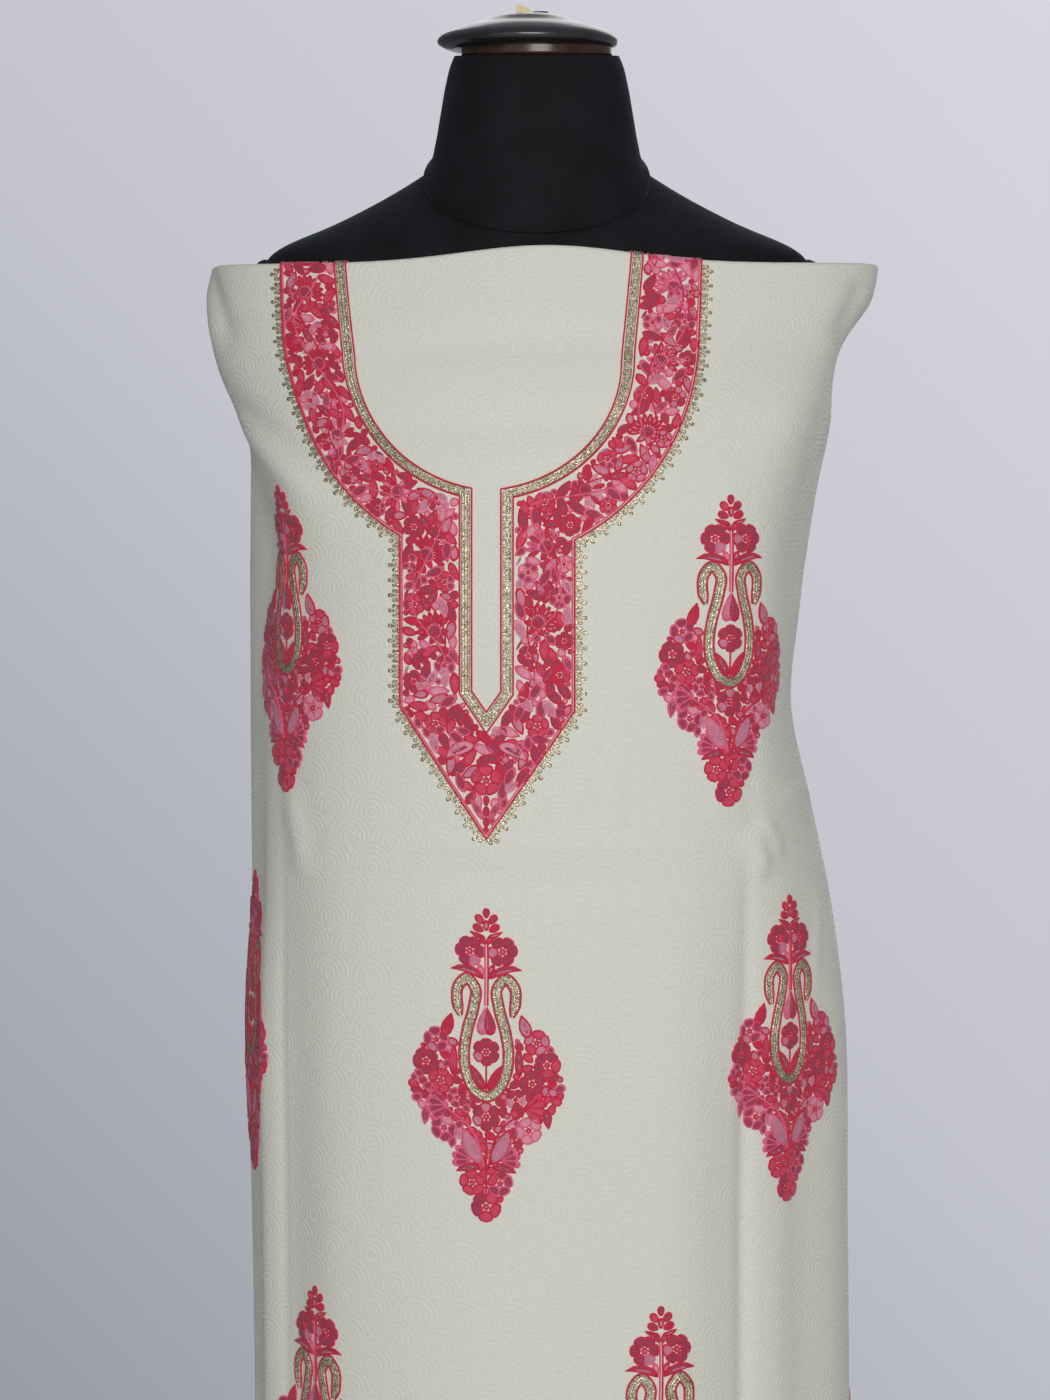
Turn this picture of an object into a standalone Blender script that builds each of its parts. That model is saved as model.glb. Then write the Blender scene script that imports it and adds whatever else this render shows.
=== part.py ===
"""The kameez length of a salwar kameez suit, wrapped and pinned on a limbless dress form.

The cloth is one uncut length: its top is turned in, it goes once round the form, and its two
selvedges overlap and are pinned at the centre back. Lengths are in metres, +Z is up, the front
faces -Y, +X is the viewer's right, and the origin is on the floor under the form's neck.

A point of the cloth is named by (u, z): u is the distance round the cloth from the line down the
middle of the neckline, positive to the viewer's right, and z is the height above the floor.
"""

import math
from collections import namedtuple

import bmesh
import bpy
import numpy as np

# ---------------------------------------------------------------- driving sizes

TOP_Z = 1.348            # the folded top edge of the cloth
TOP_SAG = 0.0077         # how far it sags across the front
TOP_RISE = 0.0105        # how far it is drawn up again at the middle of the chest
HEM_Z = 0.185            # the raw lower end of the cloth
CLOTH_WIDTH = 1.14       # selvedge to selvedge, a 45 inch loom width
CLOTH_WALL = 0.0015
NECKLINE_X = -0.033      # the neckline's middle line is pinned a little to the left of the form
TURN_IN = 0.060          # depth of the turned-in top
FOLD_RADIUS = 0.0022     # of the turn, at the middle of the wall
GAP = 0.0003             # between pieces that touch

THREAD_GAP = 0.0018      # left between the cloth and the embroidery on it
THREAD_HEIGHT = 0.0009   # thickness of the embroidery at its edges
THREAD_CROWN = 0.0003    # how much more it rises along its middle

NECK_BASE_Z = 1.401      # at the form's sides; the neck joint slopes down to the front
FORM_BOTTOM_Z = 0.700
ARM_HALF_HEIGHT = 0.062  # of the oval plates that close the form's arm openings
ARM_HALF_DEPTH = 0.039
ARM_CENTRE_Z = 1.290
ARM_REACH = 0.191        # from the form's axis to a plate's face
PLATE_RADIUS = 0.190     # the stand's foot
PLATE_HEIGHT = 0.008
POLE_RADIUS = 0.016

# ---------------------------------------------------------------- tables

# A horizontal section of the cloth or the form: reach to the viewer's left and right, to the
# front and to the back of the axis, and how square each half is (2 is an ellipse).
Section = namedtuple("Section", "z left right front back square_left square_right square_back")

CLOTH_SECTIONS = [
    Section(1.348, 0.220, 0.232, 0.089, 0.104, 1.95, 1.95, 2.5),
    Section(1.325, 0.221, 0.227, 0.095, 0.106, 2.05, 2.05, 2.7),
    Section(1.290, 0.217, 0.203, 0.105, 0.108, 2.15, 2.20, 2.9),
    Section(1.240, 0.200, 0.202, 0.120, 0.108, 2.15, 2.35, 2.9),
    Section(1.188, 0.197, 0.191, 0.131, 0.107, 2.15, 2.60, 2.6),
    Section(1.120, 0.197, 0.179, 0.134, 0.104, 2.15, 2.75, 2.3),
    Section(1.052, 0.197, 0.171, 0.133, 0.102, 2.15, 2.75, 2.2),
    Section(0.984, 0.197, 0.184, 0.132, 0.108, 2.15, 2.60, 2.2),
    Section(0.916, 0.197, 0.197, 0.132, 0.118, 2.15, 2.40, 2.2),
    Section(0.848, 0.200, 0.205, 0.132, 0.126, 2.15, 2.30, 2.2),
    Section(0.712, 0.197, 0.207, 0.132, 0.128, 2.15, 2.15, 2.2),
    Section(0.576, 0.195, 0.208, 0.133, 0.124, 2.15, 2.15, 2.2),
    Section(0.380, 0.196, 0.210, 0.135, 0.121, 2.15, 2.15, 2.2),
    Section(0.185, 0.198, 0.212, 0.137, 0.119, 2.15, 2.15, 2.2),
]

# A soft ridge (height above 0) or trough (below 0) along the line from (u0, z0) to (u1, z1).
Fold = namedtuple("Fold", "name u0 z0 u1 z1 width height")

CLOTH_FOLDS = [
    Fold("right ear to bust", 0.262, 1.310, 0.186, 1.215, 0.028, 0.0070),
    Fold("under right ear", 0.285, 1.255, 0.232, 1.120, 0.036, -0.0070),
    Fold("right bust edge", 0.182, 1.215, 0.180, 0.960, 0.026, 0.0040),
    Fold("left ear to bust", -0.225, 1.290, -0.105, 1.165, 0.028, 0.0060),
    Fold("under left ear", -0.190, 1.190, -0.185, 1.060, 0.034, -0.0050),
    Fold("left front edge", -0.172, 0.990, -0.168, 0.185, 0.024, 0.0050),
    Fold("left hanging trough", -0.136, 0.965, -0.134, 0.185, 0.022, -0.0040),
    Fold("right hanging trough", 0.174, 0.950, 0.172, 0.185, 0.026, -0.0070),
    Fold("right hanging pleat", 0.285, 0.960, 0.300, 0.185, 0.036, 0.0040),
    Fold("right flat side", 0.222, 0.930, 0.228, 0.185, 0.036, -0.0080),
    Fold("left flat side", -0.192, 1.180, -0.194, 0.185, 0.042, -0.0100),
    Fold("right side trough", 0.352, 1.150, 0.372, 0.185, 0.040, -0.0060),
    Fold("left side trough", -0.318, 1.120, -0.330, 0.185, 0.040, -0.0060),
    Fold("back left pleat", -0.440, 1.060, -0.455, 0.185, 0.040, 0.0050),
]

# Sections of the form lie on planes that slope up to the back: z = z_side + slope * y.
FormSection = namedtuple("FormSection", "z_side slope half_width front back square")

TORSO_SECTIONS = [
    FormSection(0.700, 0.00, 0.150, 0.096, 0.106, 2.2),
    FormSection(0.760, 0.00, 0.165, 0.102, 0.112, 2.2),
    FormSection(0.830, 0.00, 0.172, 0.105, 0.113, 2.2),
    FormSection(0.910, 0.00, 0.155, 0.102, 0.098, 2.2),
    FormSection(1.010, 0.00, 0.117, 0.089, 0.078, 2.1),
    FormSection(1.090, 0.00, 0.128, 0.102, 0.084, 2.1),
    FormSection(1.165, 0.00, 0.152, 0.122, 0.090, 2.2),
    FormSection(1.235, 0.02, 0.163, 0.104, 0.092, 2.3),
    FormSection(1.295, 0.05, 0.178, 0.086, 0.088, 2.2),
    FormSection(1.340, 0.10, 0.187, 0.073, 0.080, 2.1),
    FormSection(1.357, 0.16, 0.178, 0.069, 0.075, 2.0),
    FormSection(1.375, 0.30, 0.136, 0.067, 0.071, 2.0),
    FormSection(1.392, 0.48, 0.097, 0.067, 0.070, 2.0),
    FormSection(NECK_BASE_Z, 0.60, 0.0765, 0.067, 0.069, 2.0),
]

NECK_SECTIONS = [
    FormSection(NECK_BASE_Z + GAP + 0.0002, 0.60, 0.0765, 0.0670, 0.0690, 2.0),
    FormSection(1.4080, 0.59, 0.0772, 0.0672, 0.0692, 2.0),
    FormSection(1.4160, 0.52, 0.0725, 0.0635, 0.0660, 2.0),
    FormSection(1.4300, 0.40, 0.0690, 0.0605, 0.0635, 2.0),
    FormSection(1.4500, 0.27, 0.0655, 0.0590, 0.0615, 2.0),
    FormSection(1.4700, 0.20, 0.0620, 0.0570, 0.0590, 2.0),
    FormSection(1.4840, 0.16, 0.0585, 0.0545, 0.0560, 2.0),
    FormSection(1.4900, 0.15, 0.0560, 0.0525, 0.0540, 2.0),
]

# The plug between the neck and the cap is a wedge, thickest in front.
PLUG_SECTIONS = [
    FormSection(1.4900 + GAP, 0.150, 0.0505, 0.0480, 0.0490, 2.0),
    FormSection(1.4935, 0.115, 0.0505, 0.0485, 0.0490, 2.0),
    FormSection(1.4972, 0.079, 0.0505, 0.0490, 0.0490, 2.0),
]

# The embroidery follows the weave, which rises a little from the neckline's middle line to each
# side: this much height for each metre round the cloth.
RISE_LEFT = 0.090
RISE_RIGHT = 0.030

# Each line of the neckline: half its width at the folded top edge, the half ellipse below that
# (half width, height of its middle, and depth), then the straight leg and the pointed end.
NeckLine = namedtuple(
    "NeckLine", "name top_half half_width middle_z drop leg_half shoulder_z point_z"
)
NECK_LINES = [
    NeckLine("inner", 0.0950, 0.0880, 1.270, 0.0825, 0.0095, 1.0570, 1.0440),
    NeckLine("outer", 0.1420, 0.1400, 1.290, 0.1494, 0.0570, 1.0430, 0.9620),
]

# A buta (the flower motif) is 0.104 wide and 0.204 tall. Its outline, from tip to tip.
BUTA_HEIGHT = 0.204
ButaRow = namedtuple("ButaRow", "share half_width")
BUTA_OUTLINE = [
    ButaRow(0.00, 0.0020),
    ButaRow(0.10, 0.0115),
    ButaRow(0.17, 0.0200),
    ButaRow(0.32, 0.0215),
    ButaRow(0.42, 0.0300),
    ButaRow(0.52, 0.0440),
    ButaRow(0.62, 0.0500),
    ButaRow(0.74, 0.0320),
    ButaRow(0.86, 0.0180),
    ButaRow(0.96, 0.0100),
    ButaRow(1.00, 0.0030),
]
# One row of butas: the height of their upper tips, and each one's distance round the cloth.
ButaBand = namedtuple("ButaBand", "name top_z columns")
BUTA_BANDS = [
    ButaBand("chest", 1.181, (-0.389, -0.149, 0.160, 0.389)),
    ButaBand("waist", 0.918, (-0.452, -0.218, 0.0, 0.213)),
    ButaBand("thigh", 0.657, (-0.339, -0.122, 0.113, 0.339)),
    ButaBand("hem", 0.403, (-0.452, -0.222, 0.0, 0.218)),
]

# ---------------------------------------------------------------- helpers


def column_at(table, name, at):
    """One column of a table as a smooth curve: a cubic through its rows, read at the values at."""
    key = table[0]._fields[0]
    rows = sorted(table, key=lambda row: getattr(row, key))
    x = np.array([getattr(row, key) for row in rows])
    y = np.array([getattr(row, name) for row in rows])
    slope = np.gradient(y, x)
    at = np.clip(np.asarray(at, float), x[0], x[-1])
    i = np.clip(np.searchsorted(x, at) - 1, 0, len(x) - 2)
    step = x[i + 1] - x[i]
    t = (at - x[i]) / step
    from_left = (1 + 2 * t) * (1 - t) ** 2 * y[i] + t * (1 - t) ** 2 * step * slope[i]
    from_right = t * t * (3 - 2 * t) * y[i + 1] - t * t * (1 - t) * step * slope[i + 1]
    return from_left + from_right


def smooth_step(x, start, end):
    """0 before start, 1 after end, and an even S between them."""
    t = np.clip((np.asarray(x, float) - start) / (end - start), 0, 1)
    return t * t * (3 - 2 * t)


def material(name, colour, roughness, metallic=0.0):
    made = bpy.data.materials.new(name)
    made.use_nodes = True
    shader = made.node_tree.nodes["Principled BSDF"]
    shader.inputs["Base Color"].default_value = (*colour, 1.0)
    shader.inputs["Roughness"].default_value = roughness
    shader.inputs["Metallic"].default_value = metallic
    return made


def add_object(name, data, finish):
    data.materials.append(finish)
    made = bpy.data.objects.new(name, data)
    PARTS.objects.link(made)
    return made


def add_modifier(obj, kind, **settings):
    modifier = obj.modifiers.new(kind.title(), kind)
    for setting, value in settings.items():
        setattr(modifier, setting, value)
    return modifier


def shade_smooth(obj, angle=math.radians(40)):
    obj.data.shade_smooth()
    obj.data.set_sharp_from_angle(angle=angle)


def grid_mesh(name, points, closed_round=False):
    """A mesh of quads on points[row, column], joined end to end in each row if closed_round."""
    rows, columns = points.shape[:2]
    index = np.arange(rows * columns).reshape(rows, columns)
    after = np.roll(index, -1, axis=1) if closed_round else index[:, 1:]
    here = index if closed_round else index[:, :-1]
    quads = np.stack([here[:-1], here[1:], after[1:], after[:-1]], axis=-1).reshape(-1, 4)
    mesh = bpy.data.meshes.new(name)
    mesh.from_pydata(points.reshape(-1, 3).tolist(), [], quads.tolist())
    return mesh


def close_ends(mesh):
    """Fills the first and last ring of a tube, and turns every face outward."""
    work = bmesh.new()
    work.from_mesh(mesh)
    rims = [edge for edge in work.edges if edge.is_boundary]
    bmesh.ops.holes_fill(work, edges=rims)
    bmesh.ops.recalc_face_normals(work, faces=work.faces)
    work.to_mesh(mesh)
    work.free()


# ---------------------------------------------------------------- the cloth's surface


def section_radius(angle, left, right, front, back, square_left, square_right, square_back):
    """Distance from the axis at an angle from the front (-Y), turning towards +X."""
    across, ahead = np.sin(angle), np.cos(angle)
    square_front = np.where(across > 0, square_right, square_left)
    square = np.where(ahead > 0, square_front, square_back)
    width = np.where(across > 0, right, left)
    depth = np.where(ahead > 0, front, back)
    return (np.abs(across / width) ** square + np.abs(ahead / depth) ** square) ** (-1 / square)


def unfold_section(z, u):
    """(x, y) of the points at distances u round the section at height z."""
    angle = np.linspace(-1.5 * math.pi, 1.5 * math.pi, 3001)
    values = [float(column_at(CLOTH_SECTIONS, name, z)) for name in Section._fields[1:]]
    radius = section_radius(angle, *values)
    x, y = radius * np.sin(angle), -radius * np.cos(angle)
    along = np.concatenate([[0], np.cumsum(np.hypot(np.diff(x), np.diff(y)))])
    ahead = np.abs(angle) < 0.5 * math.pi
    along -= np.interp(NECKLINE_X, x[ahead], along[ahead])
    return np.interp(u, along, x), np.interp(u, along, y)


def fold_height(u, z):
    """How far the folds move the cloth outward at (u, z)."""
    total = np.zeros(np.broadcast(u, z).shape)
    for fold in CLOTH_FOLDS:
        run = np.array([fold.u1 - fold.u0, fold.z1 - fold.z0])
        length = np.hypot(*run)
        along = ((u - fold.u0) * run[0] + (z - fold.z0) * run[1]) / length
        aside = ((u - fold.u0) * run[1] - (z - fold.z0) * run[0]) / length
        ends = smooth_step(along, -0.2 * length, 0.3 * length)
        if fold.z1 > HEM_Z:
            ends = ends * (1 - smooth_step(along, 0.7 * length, 1.2 * length))
        total += fold.height * ends * np.exp(-((aside / fold.width) ** 2))
    return total


def overlap_offset(u, z):
    """Keeps the two selvedges apart where they overlap at the back: the left one lies outside.

    Near the top each of them is double, so they stand further apart there."""
    apart = 0.0030 + 0.0016 * smooth_step(z, 1.20, TOP_Z - TURN_IN - 0.01)
    return apart * (smooth_step(-u, 0.36, 0.43) - smooth_step(u, 0.36, 0.43))


def top_rise(u, z):
    """The top edge sags across the front, and is drawn up over the middle of the chest."""
    drawn_up = TOP_RISE * np.exp(-(((u - 0.040) / 0.075) ** 2))
    sag = TOP_SAG * np.exp(-(((u - 0.030) / 0.230) ** 4))
    return (drawn_up - sag) * smooth_step(z, 1.26, TOP_Z - 0.010)


class ClothSurface:
    """The middle of the cloth's wall as a fine grid over (u, z), read by interpolation."""

    def __init__(self):
        self.u = np.linspace(-CLOTH_WIDTH / 2, CLOTH_WIDTH / 2, 457)
        self.z = np.linspace(HEM_Z - 0.01, TOP_Z + 0.01, 236)
        base = np.zeros((len(self.z), len(self.u), 3))
        for row, z in enumerate(self.z):
            base[row, :, 0], base[row, :, 1] = unfold_section(z, self.u)
            base[row, :, 2] = z
        u_grid, z_grid = np.meshgrid(self.u, self.z)
        base[..., 2] += top_rise(u_grid, z_grid)
        out = fold_height(u_grid, z_grid) + overlap_offset(u_grid, z_grid)
        self.points = base + out[..., None] * self.normals_of(base)
        self.normals = self.normals_of(self.points)

    def normals_of(self, points):
        """Unit vectors across the grid's two directions, which point away from the form."""
        du = np.gradient(points, self.u, axis=1)
        dz = np.gradient(points, self.z, axis=0)
        normal = np.cross(du, dz)
        return normal / np.linalg.norm(normal, axis=-1, keepdims=True)

    def read(self, u, z, out=0.0):
        """The surface at (u, z), moved outward by out."""
        u, z, out = np.broadcast_arrays(u, z, out)
        column = np.interp(u, self.u, np.arange(len(self.u)))
        row = np.interp(z, self.z, np.arange(len(self.z)))
        i = np.minimum(row.astype(int), len(self.z) - 2)
        j = np.minimum(column.astype(int), len(self.u) - 2)
        a, b = (row - i)[..., None], (column - j)[..., None]

        def blend(grid):
            low = grid[i, j] * (1 - b) + grid[i, j + 1] * b
            high = grid[i + 1, j] * (1 - b) + grid[i + 1, j + 1] * b
            return low * (1 - a) + high * a

        return blend(self.points) + np.asarray(out)[..., None] * blend(self.normals)


def cloth_columns():
    """Distances round the cloth of its grid's columns: closest together on the folds in front."""
    fine = np.linspace(-CLOTH_WIDTH / 2, CLOTH_WIDTH / 2, 2001)
    folded = sum(np.exp(-(((fine - at) / 0.080) ** 2)) for at in (-0.180, 0.200))
    share = np.cumsum(1 + 1.3 * folded)
    share = (share - share[0]) / (share[-1] - share[0])
    return np.interp(np.linspace(0, 1, 66), share, fine)


def cloth_rows():
    """(z, out) down the cloth: up the inside of the turned-in top, over it, and down to the hem."""
    inside = [(TOP_Z - FOLD_RADIUS - depth, -2 * FOLD_RADIUS) for depth in (TURN_IN, 0.028)]
    turn = [
        (TOP_Z - FOLD_RADIUS + FOLD_RADIUS * math.sin(angle), FOLD_RADIUS * (math.cos(angle) - 1))
        for angle in np.linspace(math.pi, 0, 5)
    ]
    heights = np.concatenate([
        np.linspace(1.318, 1.100, 6), np.linspace(1.060, 0.820, 6), np.linspace(0.720, HEM_Z, 5)
    ])
    return np.array(inside + turn + [(z, 0.0) for z in heights])


def make_cloth(surface):
    columns, rows = cloth_columns(), cloth_rows()
    points = surface.read(columns[None, :], rows[:, :1], rows[:, 1:])
    cloth = add_object("kameez_cloth", grid_mesh("kameez_cloth", points), CREAM_WOOL)
    add_modifier(cloth, "SOLIDIFY", thickness=CLOTH_WALL, offset=0.0, use_even_offset=True)
    shade_smooth(cloth)


# ---------------------------------------------------------------- embroidery


def weave_rise(u):
    """How much higher the weave lies at a distance u round the cloth than at the middle line."""
    return np.where(u < 0, -RISE_LEFT, RISE_RIGHT) * u


def neck_boundary(stretch, side, line):
    """(u, z) on one line of the neckline, for side -1 (the viewer's left) or 1.

    stretch runs 0 to 0.2 from the folded top edge down to the half ellipse, to 1 round it, to 2
    down the leg and to 3 along the pointed end."""
    top_z = TOP_Z - FOLD_RADIUS - 0.001 - weave_rise(side * line.top_half)
    last_angle = math.acos(line.leg_half / line.half_width)
    corner_z = line.middle_z - line.drop * math.sin(last_angle)
    angle = np.clip((stretch - 0.2) / 0.8, 0, 1) * last_angle
    down = np.clip(stretch / 0.2, 0, 1)
    across = line.half_width * np.cos(angle) + (line.top_half - line.half_width) * (1 - down)
    z = line.middle_z - line.drop * np.sin(angle) + (top_z - line.middle_z) * (1 - down)
    leg, point = np.clip(stretch - 1, 0, 1), np.clip(stretch - 2, 0, 1)
    z = np.where(stretch > 1, corner_z + (line.shoulder_z - corner_z) * leg, z)
    z = np.where(stretch > 2, line.shoulder_z + (line.point_z - line.shoulder_z) * point, z)
    across = np.where(stretch > 1, line.leg_half, across) * (1 - point)
    return np.stack([side * across, z], axis=-1)


def neck_point(stretch, side, share):
    """Between the inner line (share 0) and the outer line (share 1), and a little past them."""
    inner, outer = (neck_boundary(stretch, side, line) for line in NECK_LINES)
    return inner + (outer - inner) * np.asarray(share)[..., None]


def thread_slab(name, surface, u, z, finish):
    """A raised patch of embroidery over the grid (u, z), just clear of the cloth."""
    z = z + weave_rise(u)
    crown = THREAD_CROWN * (1 - np.linspace(-1, 1, u.shape[1]) ** 2)
    low = CLOTH_WALL / 2 + THREAD_GAP + crown
    under = surface.read(u, z, low)
    over = surface.read(u, z, low + THREAD_HEIGHT + crown)
    ring = np.concatenate([under, over[:, ::-1]], axis=1)
    mesh = grid_mesh(name, ring, closed_round=True)
    close_ends(mesh)
    add_object(name, mesh, finish)


def make_neckline(surface):
    """The flower band, the metal-thread strip inside it and the picot edging outside it."""
    half = np.concatenate([
        np.linspace(0, 1, 14),
        np.linspace(1, 2, 6)[1:],
        np.linspace(2, 3, 4)[1:],
    ])
    strips = [
        ("neck_flower_band", 0.19, 0.99, 4, CRIMSON_WOOL),
        ("neck_metal_strip", 0.02, 0.16, 2, METAL_THREAD),
        ("neck_picot_edging", 1.02, 1.17, 2, METAL_THREAD),
    ]
    for name, near, far, count, finish in strips:
        share = np.broadcast_to(np.linspace(near, far, count), (len(half), count))
        left, right = (neck_point(half[:, None], side, share) for side in (-1, 1))
        both = np.concatenate([left, right[-2::-1]])
        thread_slab(name, surface, both[..., 0], both[..., 1], finish)


def make_butas(surface):
    share = np.array([0, 0.11, 0.28, 0.42, 0.52, 0.60, 0.66, 0.74, 0.87, 1])
    half_width = column_at(BUTA_OUTLINE, "half_width", share)
    across = np.linspace(-1, 1, 9)
    for band in BUTA_BANDS:
        for number, middle in enumerate(band.columns, 1):
            u = middle + half_width[:, None] * across
            z = np.broadcast_to((band.top_z - share * BUTA_HEIGHT)[:, None], u.shape)
            thread_slab(f"buta_{band.name}_{number}", surface, u, z, CRIMSON_WOOL)


# ---------------------------------------------------------------- the dress form and its stand


def form_loft(name, table, rows, columns, finish):
    """A closed body through sloping superellipse sections."""
    z_side = np.interp(
        np.linspace(0, 1, rows), np.linspace(0, 1, len(table)), [row.z_side for row in table]
    )
    angle = np.linspace(0, 2 * math.pi, columns, endpoint=False)[None, :]
    slope, half_width, front, back, square = (
        column_at(table, field, z_side)[:, None] for field in FormSection._fields[1:]
    )
    radius = section_radius(angle, half_width, half_width, front, back, square, square, square)
    x, y = radius * np.sin(angle), -radius * np.cos(angle)
    points = np.stack([x, y, z_side[:, None] + slope * y], axis=-1)
    mesh = grid_mesh(name, points, closed_round=True)
    close_ends(mesh)
    made = add_object(name, mesh, finish)
    shade_smooth(made)
    return made


def oval_disc(name, half_height, half_depth, x_from, x_to, centre_z, finish, collection):
    """An upright oval slab that faces +X or -X."""
    bpy.ops.mesh.primitive_cylinder_add(vertices=24, radius=1.0, depth=1.0)
    disc = bpy.context.object
    disc.name = name
    disc.rotation_euler = (0, math.pi / 2, 0)
    disc.scale = (half_height, half_depth, abs(x_to - x_from))
    disc.location = ((x_from + x_to) / 2, 0.004, centre_z)
    bpy.ops.object.transform_apply(location=False, rotation=True, scale=True)
    disc.data.materials.append(finish)
    for old in disc.users_collection:
        old.objects.unlink(disc)
    collection.objects.link(disc)
    return disc


def make_torso():
    """The body of the form, with a recess in each side that takes its arm plate."""
    torso = form_loft("form_torso", TORSO_SECTIONS, 22, 32, BLACK_JERSEY)
    for side, sign in (("left", -1), ("right", 1)):
        cutter = oval_disc(
            f"arm_recess_{side}", ARM_HALF_HEIGHT + GAP, ARM_HALF_DEPTH + GAP, sign * 0.158,
            sign * 0.260, ARM_CENTRE_Z,
            BLACK_JERSEY, CUTTERS,
        )
        cutter.hide_render = True
        cutter.display_type = "WIRE"
        add_modifier(torso, "BOOLEAN", operation="DIFFERENCE", object=cutter, solver="EXACT")
        plate = oval_disc(
            f"form_arm_plate_{side}", ARM_HALF_HEIGHT, ARM_HALF_DEPTH, sign * (0.158 + GAP),
            sign * ARM_REACH, ARM_CENTRE_Z,
            BLACK_JERSEY, PARTS,
        )
        add_modifier(plate, "BEVEL", width=0.005, segments=2, limit_method="ANGLE")
        shade_smooth(plate)


def turned(name, profile, finish, steps=32):
    """A turned solid from (radius, height) points, listed from its top to its bottom."""
    mesh = bpy.data.meshes.new(name)
    mesh.from_pydata([(r, 0, z) for r, z in profile], [(i, i + 1) for i in range(len(profile) - 1)], [])
    made = add_object(name, mesh, finish)
    add_modifier(
        made, "SCREW", steps=steps, render_steps=steps, use_merge_vertices=True,
        merge_threshold=0.00005, use_smooth_shade=True,
    )
    return made


CAP_TILT = math.radians(4.5)
CAP_X = -0.006           # the cap sits a little to one side of the neck
CAP_Z = 1.5000           # of the cap's rim, on its axis
CAP_HEIGHT = 0.0180      # from the rim to the cap's flat top


def make_cap():
    """The glossy cap with its plug, and the brass tab and wire loop on top of it."""
    profile = [
        (0.0, CAP_HEIGHT), (0.0160, CAP_HEIGHT), (0.0210, 0.0172), (0.0260, 0.0158), (0.0310, 0.0138),
        (0.0365, 0.0118), (0.0455, 0.0095), (0.0535, 0.0066), (0.0590, 0.0038), (0.0616, 0.0006),
        (0.0612, -0.0018), (0.0588, -0.0030), (0.0550, -0.0024), (0.0515, -0.0018),
        (0.0480, -0.0020), (0.0, -0.0020),
    ]
    cap = turned("form_cap", profile, BLACK_GLOSS)
    cap.rotation_euler = (CAP_TILT, 0, 0)
    cap.location = (CAP_X, 0, CAP_Z)
    form_loft("form_cap_plug", PLUG_SECTIONS, 3, 32, BLACK_GLOSS)
    tab_top = [(-0.0050, 0.0), (0.0050, 0.0), (0.0050, 0.0024), (-0.0030, 0.0062), (-0.0050, 0.0060)]
    curve = bpy.data.curves.new("form_cap_tab", "CURVE")
    curve.dimensions = "2D"
    curve.fill_mode = "BOTH"
    curve.extrude = 0.0009
    outline = curve.splines.new("POLY")
    outline.points.add(len(tab_top) - 1)
    for point, (x, y) in zip(outline.points, tab_top):
        point.co = (x, y, 0, 1)
    outline.use_cyclic_u = True
    tab = add_object("form_cap_tab", curve, BRASS)
    tab.rotation_euler = (math.pi / 2 + CAP_TILT, 0, 0)
    tab.location = (CAP_X - 0.003, -0.004, CAP_Z + CAP_HEIGHT + GAP)
    make_wire_loop()


def make_wire_loop():
    """The dark wire loop lying on the cap beside the tab."""
    curve = bpy.data.curves.new("form_cap_loop", "CURVE")
    curve.dimensions = "3D"
    curve.bevel_depth = 0.0006
    curve.bevel_resolution = 2
    curve.use_fill_caps = True
    spline = curve.splines.new("POLY")
    angles = np.linspace(math.radians(-165), math.radians(165), 12)
    spline.points.add(len(angles) - 1)
    for point, angle in zip(spline.points, angles):
        point.co = (0.0050 * math.cos(angle), 0.0032 * math.sin(angle), 0, 1)
    loop = add_object("form_cap_loop", curve, BLACK_GLOSS)
    loop.rotation_euler = (CAP_TILT, 0, 0)
    loop.location = (CAP_X + 0.0085, -0.004, CAP_Z + CAP_HEIGHT + 0.0006 + GAP)


def make_stand():
    """A round steel foot, a plain pole, and the flange that carries the form."""
    turned(
        "stand_foot",
        [(0.0, PLATE_HEIGHT), (PLATE_RADIUS - 0.003, PLATE_HEIGHT),
         (PLATE_RADIUS, PLATE_HEIGHT - 0.003), (PLATE_RADIUS, 0.0), (0.0, 0.0)],
        STEEL_BLACK, steps=48,
    )
    turned(
        "stand_collar",
        [(0.0, 0.048), (0.024, 0.048), (0.026, 0.044), (0.040, PLATE_HEIGHT + 0.006),
         (0.045, PLATE_HEIGHT + GAP), (0.0, PLATE_HEIGHT + GAP)],
        STEEL_BLACK, steps=28,
    )
    turned(
        "stand_pole",
        [(0.0, FORM_BOTTOM_Z - 0.012), (POLE_RADIUS, FORM_BOTTOM_Z - 0.012),
         (POLE_RADIUS, 0.048 + GAP), (0.0, 0.048 + GAP)],
        STEEL_BLACK, steps=24,
    )
    turned(
        "stand_flange",
        [(0.0, FORM_BOTTOM_Z - GAP), (0.060, FORM_BOTTOM_Z - GAP), (0.060, FORM_BOTTOM_Z - 0.004),
         (0.024, FORM_BOTTOM_Z - 0.0065), (0.022, FORM_BOTTOM_Z - 0.012 + GAP),
         (0.0, FORM_BOTTOM_Z - 0.012 + GAP)],
        STEEL_BLACK, steps=28,
    )


PIN_HEIGHTS = (1.315, 1.215, 1.115)


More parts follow.
